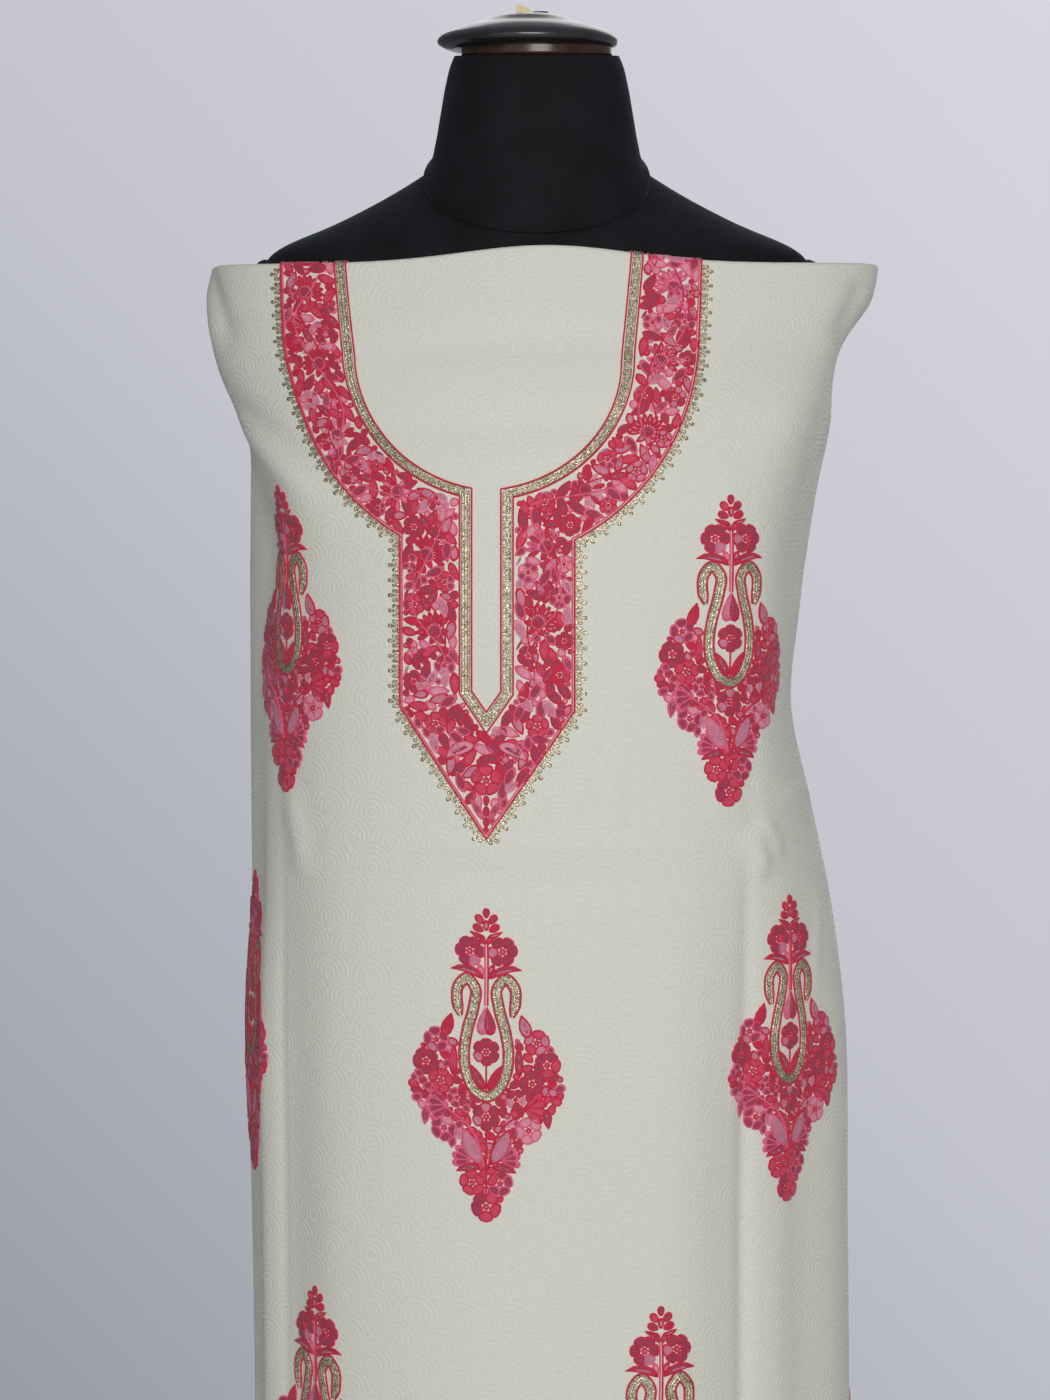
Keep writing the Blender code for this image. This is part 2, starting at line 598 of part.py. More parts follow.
def make_pins(surface):
    """Ball-headed pins that close the overlap, lying along the outer selvedge at the back."""
    # The bevel's radius draws a ball at the head and a thin shaft behind it.
    profile = np.array([
        (0.0000, 0.30), (0.0006, 0.72), (0.0021, 1.00), (0.0036, 0.72), (0.0041, 0.22),
        (0.0120, 0.20), (0.0190, 0.19), (0.0260, 0.18),
    ])
    for number, z in enumerate(PIN_HEIGHTS, 1):
        u = -CLOTH_WIDTH / 2 + 0.020 + profile[:, 0]
        path = surface.read(u, z - 0.15 * profile[:, 0], CLOTH_WALL / 2 + GAP + 0.0024)
        curve = bpy.data.curves.new(f"back_pin_{number}", "CURVE")
        curve.dimensions = "3D"
        curve.bevel_depth = 0.0021
        curve.bevel_resolution = 2
        curve.use_fill_caps = True
        spline = curve.splines.new("POLY")
        spline.points.add(len(profile) - 1)
        for point, place, radius in zip(spline.points, path, profile[:, 1]):
            point.co = (*place, 1)
            point.radius = radius
        add_object(f"back_pin_{number}", curve, PIN_STEEL)


# ---------------------------------------------------------------- build

for old in list(bpy.data.objects):
    bpy.data.objects.remove(old)

PARTS = bpy.data.collections.new("salwar kameez suit on a dress form")
CUTTERS = bpy.data.collections.new("cutters")
for collection in (PARTS, CUTTERS):
    bpy.context.scene.collection.children.link(collection)

CREAM_WOOL = material("cream wool jacquard", (0.72, 0.70, 0.62), 0.85)
CRIMSON_WOOL = material("crimson wool thread", (0.60, 0.03, 0.11), 0.60)
METAL_THREAD = material("metal thread", (0.55, 0.50, 0.38), 0.35, 0.6)
BLACK_JERSEY = material("black jersey", (0.010, 0.011, 0.013), 0.90)
BLACK_GLOSS = material("black gloss lacquer", (0.015, 0.015, 0.017), 0.15)
BRASS = material("brass", (0.78, 0.62, 0.30), 0.35, 1.0)
STEEL_BLACK = material("black powder-coated steel", (0.02, 0.02, 0.022), 0.45, 0.3)
PIN_STEEL = material("nickel-plated steel", (0.70, 0.70, 0.72), 0.25, 1.0)

SURFACE = ClothSurface()
make_cloth(SURFACE)
make_neckline(SURFACE)
make_butas(SURFACE)
make_pins(SURFACE)
make_torso()
form_loft("form_neck", NECK_SECTIONS, 10, 32, BLACK_JERSEY)
make_cap()
make_stand()
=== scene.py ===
# %% [markdown]
# # An unstitched kameez length, pinned round a dress form
#
# A salwar kameez suit is often sold as cut lengths of cloth. The shop folds the top of the kameez
# length in, wraps it once round a limbless dress form and pins it behind, so that a buyer sees the
# embroidered neckline and the flower motifs as they would be worn. This lesson draws that cloth,
# its jacquard weave, its chain-stitched wool embroidery and metal-thread work, and the form and
# stand that carry it. Everything is in metres, the front faces -Y, and +X is the viewer's right.

# %% Modules and the measured frame
import math
from collections import namedtuple

import bpy
import numpy as np
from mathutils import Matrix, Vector


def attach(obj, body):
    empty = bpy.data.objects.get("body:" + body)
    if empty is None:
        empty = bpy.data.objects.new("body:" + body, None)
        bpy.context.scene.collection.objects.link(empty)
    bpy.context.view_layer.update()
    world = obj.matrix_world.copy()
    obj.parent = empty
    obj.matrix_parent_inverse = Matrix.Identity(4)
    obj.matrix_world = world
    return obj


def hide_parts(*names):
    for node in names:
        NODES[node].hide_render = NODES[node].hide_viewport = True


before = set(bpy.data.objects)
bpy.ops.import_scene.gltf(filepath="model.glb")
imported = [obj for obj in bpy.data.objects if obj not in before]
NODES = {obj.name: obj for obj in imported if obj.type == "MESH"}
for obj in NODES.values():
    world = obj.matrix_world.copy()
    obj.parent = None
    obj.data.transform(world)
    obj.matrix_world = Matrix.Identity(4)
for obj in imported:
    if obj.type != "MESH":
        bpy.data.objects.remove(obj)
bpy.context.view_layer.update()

# %% [markdown]
# ## The camera
#
# The suit is looked at level with the waist, from 2.6 m in front, through a short telephoto lens.
# A long lens from far away keeps the motifs near the edges of the cloth from stretching.

# %% The camera
camera_data = bpy.data.cameras.new("camera")
camera_data.sensor_fit = "VERTICAL"
camera_data.sensor_height = 36.0
camera_data.lens = 98.3
camera = bpy.data.objects.new("camera", camera_data)
camera.location = (-0.008, -2.6, 1.052)
camera.rotation_euler = (math.pi / 2, 0, 0)
bpy.context.scene.collection.objects.link(camera)
bpy.context.scene.camera = camera
print("camera at", tuple(round(v, 3) for v in camera.location))

# %% [markdown]
# ## Colours and nodes
#
# Colours are picked as sRGB hex values, as on a colour chart, but shaders work in linear light, so
# one function turns the one into the other. One more function adds a shader node: it sets the
# node's options, and links or fills its inputs by name. Every material below is built with it.

# %% Colours
def linear(hex_colour):
    """An sRGB hex colour as linear RGBA: each channel c becomes ((c + 0.055) / 1.055) ** 2.4."""
    channels = [int(hex_colour[i:i + 2], 16) / 255 for i in (1, 3, 5)]
    return (*(c / 12.92 if c <= 0.04045 else ((c + 0.055) / 1.055) ** 2.4 for c in channels), 1.0)


print("ivory is", [round(v, 3) for v in linear("#D5D3C6")[:3]])

# %% Nodes and materials
def add_node(tree, kind, inputs=(), to=None, **options):
    """Adds a node, sets its options and fills its inputs: a dictionary by name, or a list in the
    node's own order, of values, of sockets to link, or of nodes, whose first output is linked.
    Its own first output is linked to the socket given as to."""
    node = tree.nodes.new(kind)
    for option, value in options.items():
        setattr(node, option, value)
    for key, value in inputs.items() if isinstance(inputs, dict) else enumerate(inputs):
        if isinstance(value, bpy.types.Node):
            value = value.outputs[0]
        if isinstance(value, bpy.types.NodeSocket):
            tree.links.new(value, node.inputs[key])
        else:
            node.inputs[key].default_value = value
    if to is not None:
        tree.links.new(node.outputs[0], to)
    return node


def new_material(name, **values):
    """A material with one Principled shader, whose sockets take the given plain values."""
    made = bpy.data.materials.new(name)
    made.use_nodes = True
    shader = made.node_tree.nodes["Principled BSDF"]
    for socket, value in values.items():
        shader.inputs[socket.replace("_", " ")].default_value = value
    return made, made.node_tree, shader


def set_ramp(node, stops):
    """Gives a colour ramp the stops (position, hex colour), and hands back its colour."""
    elements = node.color_ramp.elements
    while len(elements) < len(stops):
        elements.new(0.5)
    for element, (position, colour) in zip(elements, stops):
        element.position = position
        element.color = linear(colour)
    return node.outputs["Color"]


print("helpers:", add_node.__name__, new_material.__name__, set_ramp.__name__)

# %% [markdown]
# ## Smooth curves through tables
#
# The cloth is a tube of changing section. A short table lists a few sections by height, and a
# cubic through the rows (a Catmull-Rom curve) gives every height between them.

# %% Table columns as smooth curves
def column_at(table, name, at):
    """One column of a table as a smooth curve: a cubic through its rows, read at the values at."""
    key = table[0]._fields[0]
    rows = sorted(table, key=lambda row: getattr(row, key))
    x = np.array([getattr(row, key) for row in rows])
    y = np.array([getattr(row, name) for row in rows])
    slope = np.gradient(y, x)
    at = np.clip(np.asarray(at, float), x[0], x[-1])
    i = np.clip(np.searchsorted(x, at) - 1, 0, len(x) - 2)
    step = x[i + 1] - x[i]
    t = (at - x[i]) / step
    from_left = (1 + 2 * t) * (1 - t) ** 2 * y[i] + t * (1 - t) ** 2 * step * slope[i]
    from_right = t * t * (3 - 2 * t) * y[i + 1] - t * t * (1 - t) * step * slope[i + 1]
    return from_left + from_right


def path_length(path):
    """Length along a path of (x, y) points at each point: the running sum of its steps."""
    return np.concatenate([[0], np.cumsum(np.hypot(*np.diff(path, axis=0).T))])


def smooth_step(x, start, end):
    """0 before start, 1 after end, and an even S between them: t * t * (3 - 2 t)."""
    t = np.clip((np.asarray(x, float) - start) / (end - start), 0, 1)
    return t * t * (3 - 2 * t)


# %% The cloth's sections
TOP_Z, HEM_Z = 1.348, 0.185
CLOTH_WIDTH, CUT_LENGTH = 1.14, 1.225
CLOTH_WALL = 0.0012      # a light wool and viscose jacquard
NECKLINE_X = -0.033      # the neckline's middle line is pinned a little to the left of the form
TURN_IN, FOLD_RADIUS = 0.060, 0.0022
TOP_SAG, TOP_RISE = 0.0077, 0.0105     # of the top edge in front, and back up at the middle

# Reach to the viewer's left and right, to the front and back, and how square each half is.
Section = namedtuple("Section", "z left right front back square_left square_right square_back")
CLOTH_SECTIONS = [
    Section(1.348, 0.220, 0.232, 0.089, 0.104, 1.95, 1.95, 2.5),
    Section(1.325, 0.221, 0.227, 0.095, 0.106, 2.05, 2.05, 2.7),
    Section(1.290, 0.217, 0.203, 0.105, 0.108, 2.15, 2.20, 2.9),
    Section(1.240, 0.200, 0.202, 0.120, 0.108, 2.15, 2.35, 2.9),
    Section(1.188, 0.197, 0.191, 0.131, 0.107, 2.15, 2.60, 2.6),
    Section(1.120, 0.197, 0.179, 0.134, 0.104, 2.15, 2.75, 2.3),
    Section(1.052, 0.197, 0.171, 0.133, 0.102, 2.15, 2.75, 2.2),
    Section(0.984, 0.197, 0.184, 0.132, 0.108, 2.15, 2.60, 2.2),
    Section(0.916, 0.197, 0.197, 0.132, 0.118, 2.15, 2.40, 2.2),
    Section(0.848, 0.200, 0.205, 0.132, 0.126, 2.15, 2.30, 2.2),
    Section(0.712, 0.197, 0.207, 0.132, 0.128, 2.15, 2.15, 2.2),
    Section(0.576, 0.195, 0.208, 0.133, 0.124, 2.15, 2.15, 2.2),
    Section(0.380, 0.196, 0.210, 0.135, 0.121, 2.15, 2.15, 2.2),
    Section(0.185, 0.198, 0.212, 0.137, 0.119, 2.15, 2.15, 2.2),
]
print("chest front reach", round(float(column_at(CLOTH_SECTIONS, "front", 1.2)), 4))

# %% [markdown]
# ## Folds and creases
#
# Wool hangs in soft folds. Each fold here is a straight line on the cloth with a bell-shaped
# cross-section, a ridge or a trough, that fades in and out along its length. Wide ones are the
# drape from the corners of the turned-in top, and narrow ones are creases from folding and packing.
# A cloth solver could find the big folds, but placing them one by one keeps them where they belong.

# %% The folds
Fold = namedtuple("Fold", "name u0 z0 u1 z1 width height")
CLOTH_FOLDS = [
    Fold("right ear to bust", 0.262, 1.310, 0.186, 1.215, 0.028, 0.0070),
    Fold("under right ear", 0.285, 1.255, 0.232, 1.120, 0.036, -0.0070),
    Fold("right bust edge", 0.182, 1.215, 0.180, 0.960, 0.026, 0.0040),
    Fold("left ear to bust", -0.225, 1.290, -0.105, 1.165, 0.028, 0.0060),
    Fold("under left ear", -0.190, 1.190, -0.185, 1.060, 0.034, -0.0050),
    Fold("left front edge", -0.172, 0.990, -0.168, 0.185, 0.024, 0.0050),
    Fold("left hanging trough", -0.136, 0.965, -0.134, 0.185, 0.022, -0.0040),
    Fold("right hanging trough", 0.174, 0.950, 0.172, 0.185, 0.026, -0.0070),
    Fold("right hanging pleat", 0.285, 0.960, 0.300, 0.185, 0.036, 0.0040),
    Fold("right flat side", 0.222, 0.930, 0.228, 0.185, 0.036, -0.0080),
    Fold("left flat side", -0.192, 1.180, -0.194, 0.185, 0.042, -0.0100),
    Fold("right side trough", 0.352, 1.150, 0.372, 0.185, 0.040, -0.0060),
    Fold("left side trough", -0.318, 1.120, -0.330, 0.185, 0.040, -0.0060),
    Fold("back left pleat", -0.440, 1.060, -0.455, 0.185, 0.040, 0.0050),
]
print(len(CLOTH_FOLDS), "folds")

# %% Creases
# These are finer than a solid needs, and are drawn only here.
CREASES = [
    Fold("upper chest trough", -0.075, 1.283, 0.095, 1.286, 0.012, -0.0020),
    Fold("lower chest trough", -0.070, 1.229, 0.095, 1.232, 0.012, -0.0022),
    Fold("packing crease", -0.080, 0.959, 0.165, 0.957, 0.0045, 0.0009),
    Fold("soft packing crease", -0.060, 0.934, 0.150, 0.935, 0.011, -0.0012),
    Fold("fine upright crease", 0.094, 1.075, 0.079, 0.925, 0.0040, 0.0007),
    Fold("lower upright crease", 0.079, 0.925, 0.084, 0.845, 0.0040, 0.0006),
    Fold("slanting crease", -0.006, 0.956, 0.027, 0.941, 0.0045, 0.0007),
    Fold("right knuckle", 0.176, 0.966, 0.190, 0.938, 0.009, 0.0042),
    Fold("right short crease", 0.205, 0.989, 0.262, 0.993, 0.0040, 0.0026),
    Fold("right fine crease", 0.250, 0.925, 0.240, 0.861, 0.0045, 0.0010),
    Fold("left pucker", -0.146, 0.994, -0.132, 0.940, 0.010, 0.0030),
    Fold("left ear roll", -0.232, 1.345, -0.205, 1.290, 0.011, 0.0030),
    Fold("left ear dip", -0.214, 1.345, -0.186, 1.295, 0.009, -0.0026),
    Fold("right ear tuck", 0.268, 1.335, 0.246, 1.300, 0.010, -0.0030),
    Fold("right sharp edge", 0.158, 1.200, 0.156, 0.990, 0.010, 0.0014),
    Fold("left sharp ridge", -0.177, 0.985, -0.173, 0.185, 0.009, 0.0024),
    Fold("left inner trough", -0.151, 0.965, -0.149, 0.185, 0.014, -0.0024),
    Fold("left hanging line", -0.155, 0.940, -0.153, 0.560, 0.0030, -0.0014),
    Fold("right sharp trough", 0.177, 0.950, 0.175, 0.185, 0.006, -0.0036),
    Fold("right second knuckle", 0.188, 0.974, 0.206, 0.950, 0.006, 0.0024),
    Fold("right outer ridge", 0.205, 0.900, 0.206, 0.185, 0.016, 0.0016),
    Fold("below left ear", -0.235, 1.235, -0.160, 1.130, 0.028, -0.0040),
    Fold("left ear ridge", -0.205, 1.244, -0.125, 1.190, 0.009, 0.0030),
    Fold("left ear hollow", -0.196, 1.256, -0.118, 1.205, 0.009, -0.0022),
    Fold("thigh fold", -0.020, 0.700, 0.030, 0.230, 0.050, 0.0020),
    Fold("right panel roll", 0.120, 0.900, 0.112, 0.230, 0.022, 0.0022),
]
print(len(CREASES), "creases")


# %% The height of the folds at a point
def fold_height(u, z, folds):
    """The sum over the folds of height * fade along the line * exp(-(distance / width) squared)."""
    total = np.zeros(np.broadcast(u, z).shape)
    for fold in folds:
        run = np.array([fold.u1 - fold.u0, fold.z1 - fold.z0])
        length = np.hypot(*run)
        along = ((u - fold.u0) * run[0] + (z - fold.z0) * run[1]) / length
        aside = ((u - fold.u0) * run[1] - (z - fold.z0) * run[0]) / length
        fade = smooth_step(along, -0.2 * length, 0.3 * length)
        if fold.z1 > HEM_Z:
            fade = fade * (1 - smooth_step(along, 0.7 * length, 1.2 * length))
        total += fold.height * fade * np.exp(-((aside / fold.width) ** 2))
    return total


print("the left flat side lies", round(1000 * float(fold_height(
    np.array(-0.192), np.array(0.8), CLOTH_FOLDS)), 2), "mm out")

# %% [markdown]
# ## The cloth's surface
#
# A point of the cloth is named by (u, z): u is the distance round the cloth from the neckline's
# middle line, and z is the height. Each section is a superellipse, |x / width| ** n +
# |y / depth| ** n = 1, walked round by its real length, so the weave and the embroidery keep
# their true size wherever they lie. The folds then move each point along the surface's normal.
# Weave, stitches and motifs are all placed by reading this one surface.

# %% Sections unrolled by length
def section_radius(angle, left, right, front, back, square_left, square_right, square_back):
    """Distance from the axis at an angle from the front (-Y), turning towards +X."""
    across, ahead = np.sin(angle), np.cos(angle)
    square_front = np.where(across > 0, square_right, square_left)
    square = np.where(ahead > 0, square_front, square_back)
    width = np.where(across > 0, right, left)
    depth = np.where(ahead > 0, front, back)
    return (np.abs(across / width) ** square + np.abs(ahead / depth) ** square) ** (-1 / square)


def unfold_section(z, u):
    """(x, y) of the points at distances u round the section at height z."""
    angle = np.linspace(-1.5 * math.pi, 1.5 * math.pi, 3001)
    values = [float(column_at(CLOTH_SECTIONS, name, z)) for name in Section._fields[1:]]
    radius = section_radius(angle, *values)
    x, y = radius * np.sin(angle), -radius * np.cos(angle)
    along = path_length(np.stack([x, y], axis=-1))
    ahead = np.abs(angle) < 0.5 * math.pi
    along -= np.interp(NECKLINE_X, x[ahead], along[ahead])
    return np.interp(u, along, x), np.interp(u, along, y)


def overlap_offset(u, z):
    """Keeps the two selvedges apart where they overlap at the back: the left one lies outside."""
    apart = 0.0030 + 0.0016 * smooth_step(z, 1.20, TOP_Z - TURN_IN - 0.01)
    return apart * (smooth_step(-u, 0.36, 0.43) - smooth_step(u, 0.36, 0.43))


def top_rise(u, z):
    """The top edge sags across the front, and is drawn up over the middle of the chest."""
    drawn_up = TOP_RISE * np.exp(-(((u - 0.040) / 0.075) ** 2))
    sag = TOP_SAG * np.exp(-(((u - 0.030) / 0.230) ** 4))
    return (drawn_up - sag) * smooth_step(z, 1.26, TOP_Z - 0.010)


# %% The surface and how it is read
class ClothSurface:
    """The middle of the cloth's wall as a fine grid over (u, z), read by interpolation."""

    def __init__(self):
        self.u = np.linspace(-CLOTH_WIDTH / 2, CLOTH_WIDTH / 2, 571)
        self.z = np.linspace(HEM_Z - 0.01, TOP_Z + 0.01, 472)
        base = np.zeros((len(self.z), len(self.u), 3))
        for row, z in enumerate(self.z):
            base[row, :, 0], base[row, :, 1] = unfold_section(z, self.u)
            base[row, :, 2] = z
        u_grid, z_grid = np.meshgrid(self.u, self.z)
        base[..., 2] += top_rise(u_grid, z_grid)
        out = fold_height(u_grid, z_grid, CLOTH_FOLDS + CREASES) + overlap_offset(u_grid, z_grid)
        self.points = base + out[..., None] * self.normals_of(base)
        self.normals = self.normals_of(self.points)

    def normals_of(self, points):
        """The cross product of the grid's two directions, as unit vectors away from the form."""
        du = np.gradient(points, self.u, axis=1)
        dz = np.gradient(points, self.z, axis=0)
        normal = np.cross(du, dz)
        return normal / np.linalg.norm(normal, axis=-1, keepdims=True)

    def read(self, u, z, out=0.0):
        """The surface at (u, z), moved outward by out: a weighted mean of the four grid corners."""
        u, z, out = np.broadcast_arrays(u, z, out)
        column = np.interp(u, self.u, np.arange(len(self.u)))
        row = np.interp(z, self.z, np.arange(len(self.z)))
        i = np.minimum(row.astype(int), len(self.z) - 2)
        j = np.minimum(column.astype(int), len(self.u) - 2)
        a, b = (row - i)[..., None], (column - j)[..., None]

        def blend(grid):
            low = grid[i, j] * (1 - b) + grid[i, j + 1] * b
            high = grid[i + 1, j] * (1 - b) + grid[i + 1, j + 1] * b
            return low * (1 - a) + high * a

        return blend(self.points) + np.asarray(out)[..., None] * blend(self.normals)


SURFACE = ClothSurface()
print("cloth surface", SURFACE.points.shape)

# %% [markdown]
# ## Meshes from grids
#
# Most pieces are grids of points, so one function turns points[row, column] into a mesh with its
# UV map, and another gives a mesh its object, its finish and its place in the frame. Arrays of
# corners are built whole, which is far quicker than adding faces one by one.

# %% Grid meshes
RISE_LEFT, RISE_RIGHT = 0.090, 0.030


def weave_rise(u):
    """The weave lies higher at the sides than in the middle: a share of u for each side."""
    return np.where(u < 0, -RISE_LEFT, RISE_RIGHT) * u


def grid_quads(rows, columns, closed_round=False):
    """Corner numbers of the quads between neighbouring rows and columns of a grid."""
    index = np.arange(rows * columns).reshape(rows, columns)
    after = np.roll(index, -1, axis=1) if closed_round else index[:, 1:]
    here = index if closed_round else index[:, :-1]
    return np.stack([here[:-1], here[1:], after[1:], after[:-1]], axis=-1).reshape(-1, 4)


print("a 3 by 3 grid has", len(grid_quads(3, 3)), "quads")


# %% Meshes and pieces
def mesh_of(name, points, faces):
    """A mesh from an array of points and an array of faces that all have as many corners."""
    points, faces = np.asarray(points, float).reshape(-1, 3), np.asarray(faces)
    mesh = bpy.data.meshes.new(name)
    mesh.vertices.add(len(points))
    mesh.vertices.foreach_set("co", points.ravel())
    mesh.loops.add(faces.size)
    mesh.loops.foreach_set("vertex_index", faces.ravel())
    mesh.polygons.add(len(faces))
    mesh.polygons.foreach_set("loop_start", np.arange(len(faces)) * faces.shape[1])
    mesh.update(calc_edges=True)
    mesh.validate()
    mesh.shade_smooth()
    return mesh


def add_uv(mesh, uv):
    """A UV map in metres from one (u, v) for each vertex."""
    corners = np.empty(len(mesh.loops), np.int32)
    mesh.loops.foreach_get("vertex_index", corners)
    layer = mesh.uv_layers.new(name="metres")
    layer.data.foreach_set("uv", np.asarray(uv).reshape(-1, 2)[corners].astype(np.float32).ravel())


def add_piece(name, mesh, finish, replaced=()):
    """An object for the mesh, riding on the root, in place of the CAD nodes it stands for."""
    mesh.materials.append(finish)
    made = bpy.data.objects.new(name, mesh)
    bpy.context.scene.collection.objects.link(made)
    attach(made, "root")
    if replaced:
        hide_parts(*replaced)
    return made


print("weave rise at the left chest motif", round(float(weave_rise(np.array(-0.163))), 4))

# %% [markdown]
# ## The jacquard cloth
#
# The ground is an ivory wool and viscose jacquard: the figure, overlapping fans in a half-drop
# repeat, is woven in the same colour as the ground and shows only as a change of sheen. A fan is
# 31 mm across and rows are 18 mm apart. The pattern is worked out from the cloth's own UV map, in
# metres, so it bends with every fold. Yarns, 0.4 mm apart, are drawn at 1.1 mm so that they show.

# %% The fans of the jacquard
FAN_PITCH, FAN_ROW, FAN_RADIUS, ARC_PITCH = 0.0310, 0.0180, 0.0184, 0.0036
MATH = "ShaderNodeMath"


def fan_distance(tree, u, v, row_number):
    """Distance in metres from the centre of the nearest fan in one row; odd rows move by half."""
    odd = add_node(tree, MATH, [row_number, 2.0], operation="FLOORED_MODULO")
    moved = add_node(tree, MATH, [odd, 0.5], operation="MULTIPLY")
    pitches = add_node(tree, MATH, [u, FAN_PITCH], operation="DIVIDE")
    column = add_node(tree, MATH, [pitches, moved], operation="ADD")
    part = add_node(tree, MATH, [column], operation="FRACT")
    aside = add_node(tree, MATH, [part, 0.5], operation="SUBTRACT")
    across = add_node(tree, MATH, [aside, FAN_PITCH], operation="MULTIPLY")
    base = add_node(tree, MATH, [row_number, FAN_ROW], operation="MULTIPLY")
    up = add_node(tree, MATH, [v, base], operation="SUBTRACT")
    across_2 = add_node(tree, MATH, [across, across], operation="MULTIPLY")
    up_2 = add_node(tree, MATH, [up, up], operation="MULTIPLY")
    square = add_node(tree, MATH, [across_2, up_2], operation="ADD")
    return add_node(tree, MATH, [square], operation="SQRT")


def fan_pattern(tree, u, v):
    """0 to 1: rings round each fan's centre, each row of fans lying over the row above it."""
    rows_up = add_node(tree, MATH, [v, FAN_ROW], operation="DIVIDE")
    row = add_node(tree, MATH, [rows_up], operation="FLOOR")
    above = add_node(tree, MATH, [row, 1.0], operation="ADD")
    front, behind = (fan_distance(tree, u, v, number) for number in (row, above))
    inside = add_node(tree, MATH, [front, FAN_RADIUS], operation="LESS_THAN")
    near = add_node(tree, "ShaderNodeMix", {"Factor": inside, "A": behind, "B": front},
                    data_type="FLOAT").outputs["Result"]
    turns = 2 * math.pi / ARC_PITCH
    turn = add_node(tree, MATH, [near, turns], operation="MULTIPLY")
    swing = add_node(tree, MATH, [turn], operation="COSINE")
    wave = add_node(tree, MATH, [swing, 0.5, 0.5], operation="MULTIPLY_ADD")
    broad = add_node(tree, MATH, [wave, 1.6], operation="MULTIPLY")
    return add_node(tree, MATH, [broad, 1.0, 0.2], operation="SMOOTH_MIN")


print("a fan has", round(FAN_RADIUS / ARC_PITCH), "rings")

# %% Ivory wool jacquard
TWILL_PITCH = 0.0011    # from line to line; the real yarns are 0.4 mm apart


def wool_jacquard():
    """Soft matt wool with a faint sheen, whose raised fans are a little smoother and lighter."""
    made, tree, shader = new_material(
        "ivory wool jacquard", Sheen_Roughness=0.40, Sheen_Tint=linear("#FFFDF4"), IOR=1.46)
    uv = add_node(tree, "ShaderNodeUVMap", uv_map="metres").outputs["UV"]
    split = add_node(tree, "ShaderNodeSeparateXYZ", {"Vector": uv})
    fans = fan_pattern(tree, split.outputs["X"], split.outputs["Y"])
    cloudy = add_node(tree, "ShaderNodeTexNoise", {"Vector": uv, "Scale": 14.0, "Detail": 3.0})
    clear = add_node(tree, MATH, [cloudy, 1.1, 0.10], operation="MULTIPLY_ADD")
    shown = add_node(tree, MATH, [fans, clear], operation="MULTIPLY")
    ground = set_ramp(add_node(tree, "ShaderNodeValToRGB", {"Fac": shown}),
                      [(0.0, "#DDDED1"), (1.0, "#E0E1D4")])
    yarn_space = add_node(tree, "ShaderNodeMapping", {"Vector": uv, "Scale": (1.0, 6.0, 1.0)})
    slubs = add_node(tree, "ShaderNodeTexNoise", {
        "Vector": yarn_space, "Scale": 160.0, "Detail": 2.0})
    streaks = set_ramp(add_node(tree, "ShaderNodeValToRGB", {"Fac": slubs}),
                       [(0.35, "#B9B9A8"), (0.65, "#F4F5EC")])
    tint = add_node(tree, "ShaderNodeMix", {"Factor": 0.10, "A": ground, "B": streaks},
                    data_type="RGBA")
    tree.links.new(tint.outputs["Result"], shader.inputs["Base Color"])
    add_node(tree, MATH, [shown, -0.22, 0.86], shader.inputs["Roughness"], operation="MULTIPLY_ADD")
    # The fans float longer yarns on the face, which catch the light where the cloth turns away.
    add_node(tree, MATH, [shown, 0.85, 0.05], shader.inputs["Sheen Weight"],
             operation="MULTIPLY_ADD")
    # A 2/2 twill: its diagonal is the sum of the two directions.
    diagonal = add_node(tree, MATH, [split.outputs["X"], split.outputs["Y"]], operation="ADD")
    turn = add_node(tree, MATH, [diagonal, 2 * math.pi / TWILL_PITCH], operation="MULTIPLY")
    twill = add_node(tree, MATH, [turn], operation="SINE")
    rough = add_node(tree, MATH, [slubs, 0.5], operation="MULTIPLY")
    fine = add_node(tree, MATH, [twill, 0.10, rough], operation="MULTIPLY_ADD")
    raised = add_node(tree, MATH, [shown, 0.9], operation="MULTIPLY")
    relief = add_node(tree, MATH, [raised, fine], operation="ADD")
    add_node(tree, "ShaderNodeBump", {"Height": relief, "Strength": 0.6, "Distance": 0.0004},
             shader.inputs["Normal"])
    return made


WOOL = wool_jacquard()
print(WOOL.name, len(WOOL.node_tree.nodes), "nodes")

# %% [markdown]
# ## The cloth itself
#
# The cloth is one grid: it starts inside the form's neck with the end that is turned in, goes over
# the fold in a small half circle, and hangs to the raw hem. Columns stand closest together in
# front, where the creases are. Solidify gives the sheet its wall.

# %% Rows and columns of the cloth
def spread(start, end, count, crowded):
    """count values from start to end, closer together where the function crowded is larger."""
    fine = np.linspace(start, end, 4001)
    share = np.cumsum(crowded(fine))
    share = (share - share[0]) / (share[-1] - share[0])
    return np.interp(np.linspace(0, 1, count), share, fine)


def cloth_rows():
    """(z, out) down the cloth: up inside the turned-in top, over it, and down to the hem."""
    inside = [(TOP_Z - FOLD_RADIUS - depth, -2 * FOLD_RADIUS)
              for depth in np.linspace(TURN_IN, 0.004, 8)]
    turn = [(TOP_Z - FOLD_RADIUS + FOLD_RADIUS * math.sin(a), FOLD_RADIUS * (math.cos(a) - 1))
            for a in np.linspace(math.pi, 0, 9)]
    outside = spread(TOP_Z - FOLD_RADIUS - 0.003, HEM_Z, 186,
                     lambda z: 1 + 1.6 * smooth_step(z, 0.80, 0.90))
    return np.array(inside + turn + [(z, 0.0) for z in outside])


print(len(cloth_rows()), "rows down the cloth")


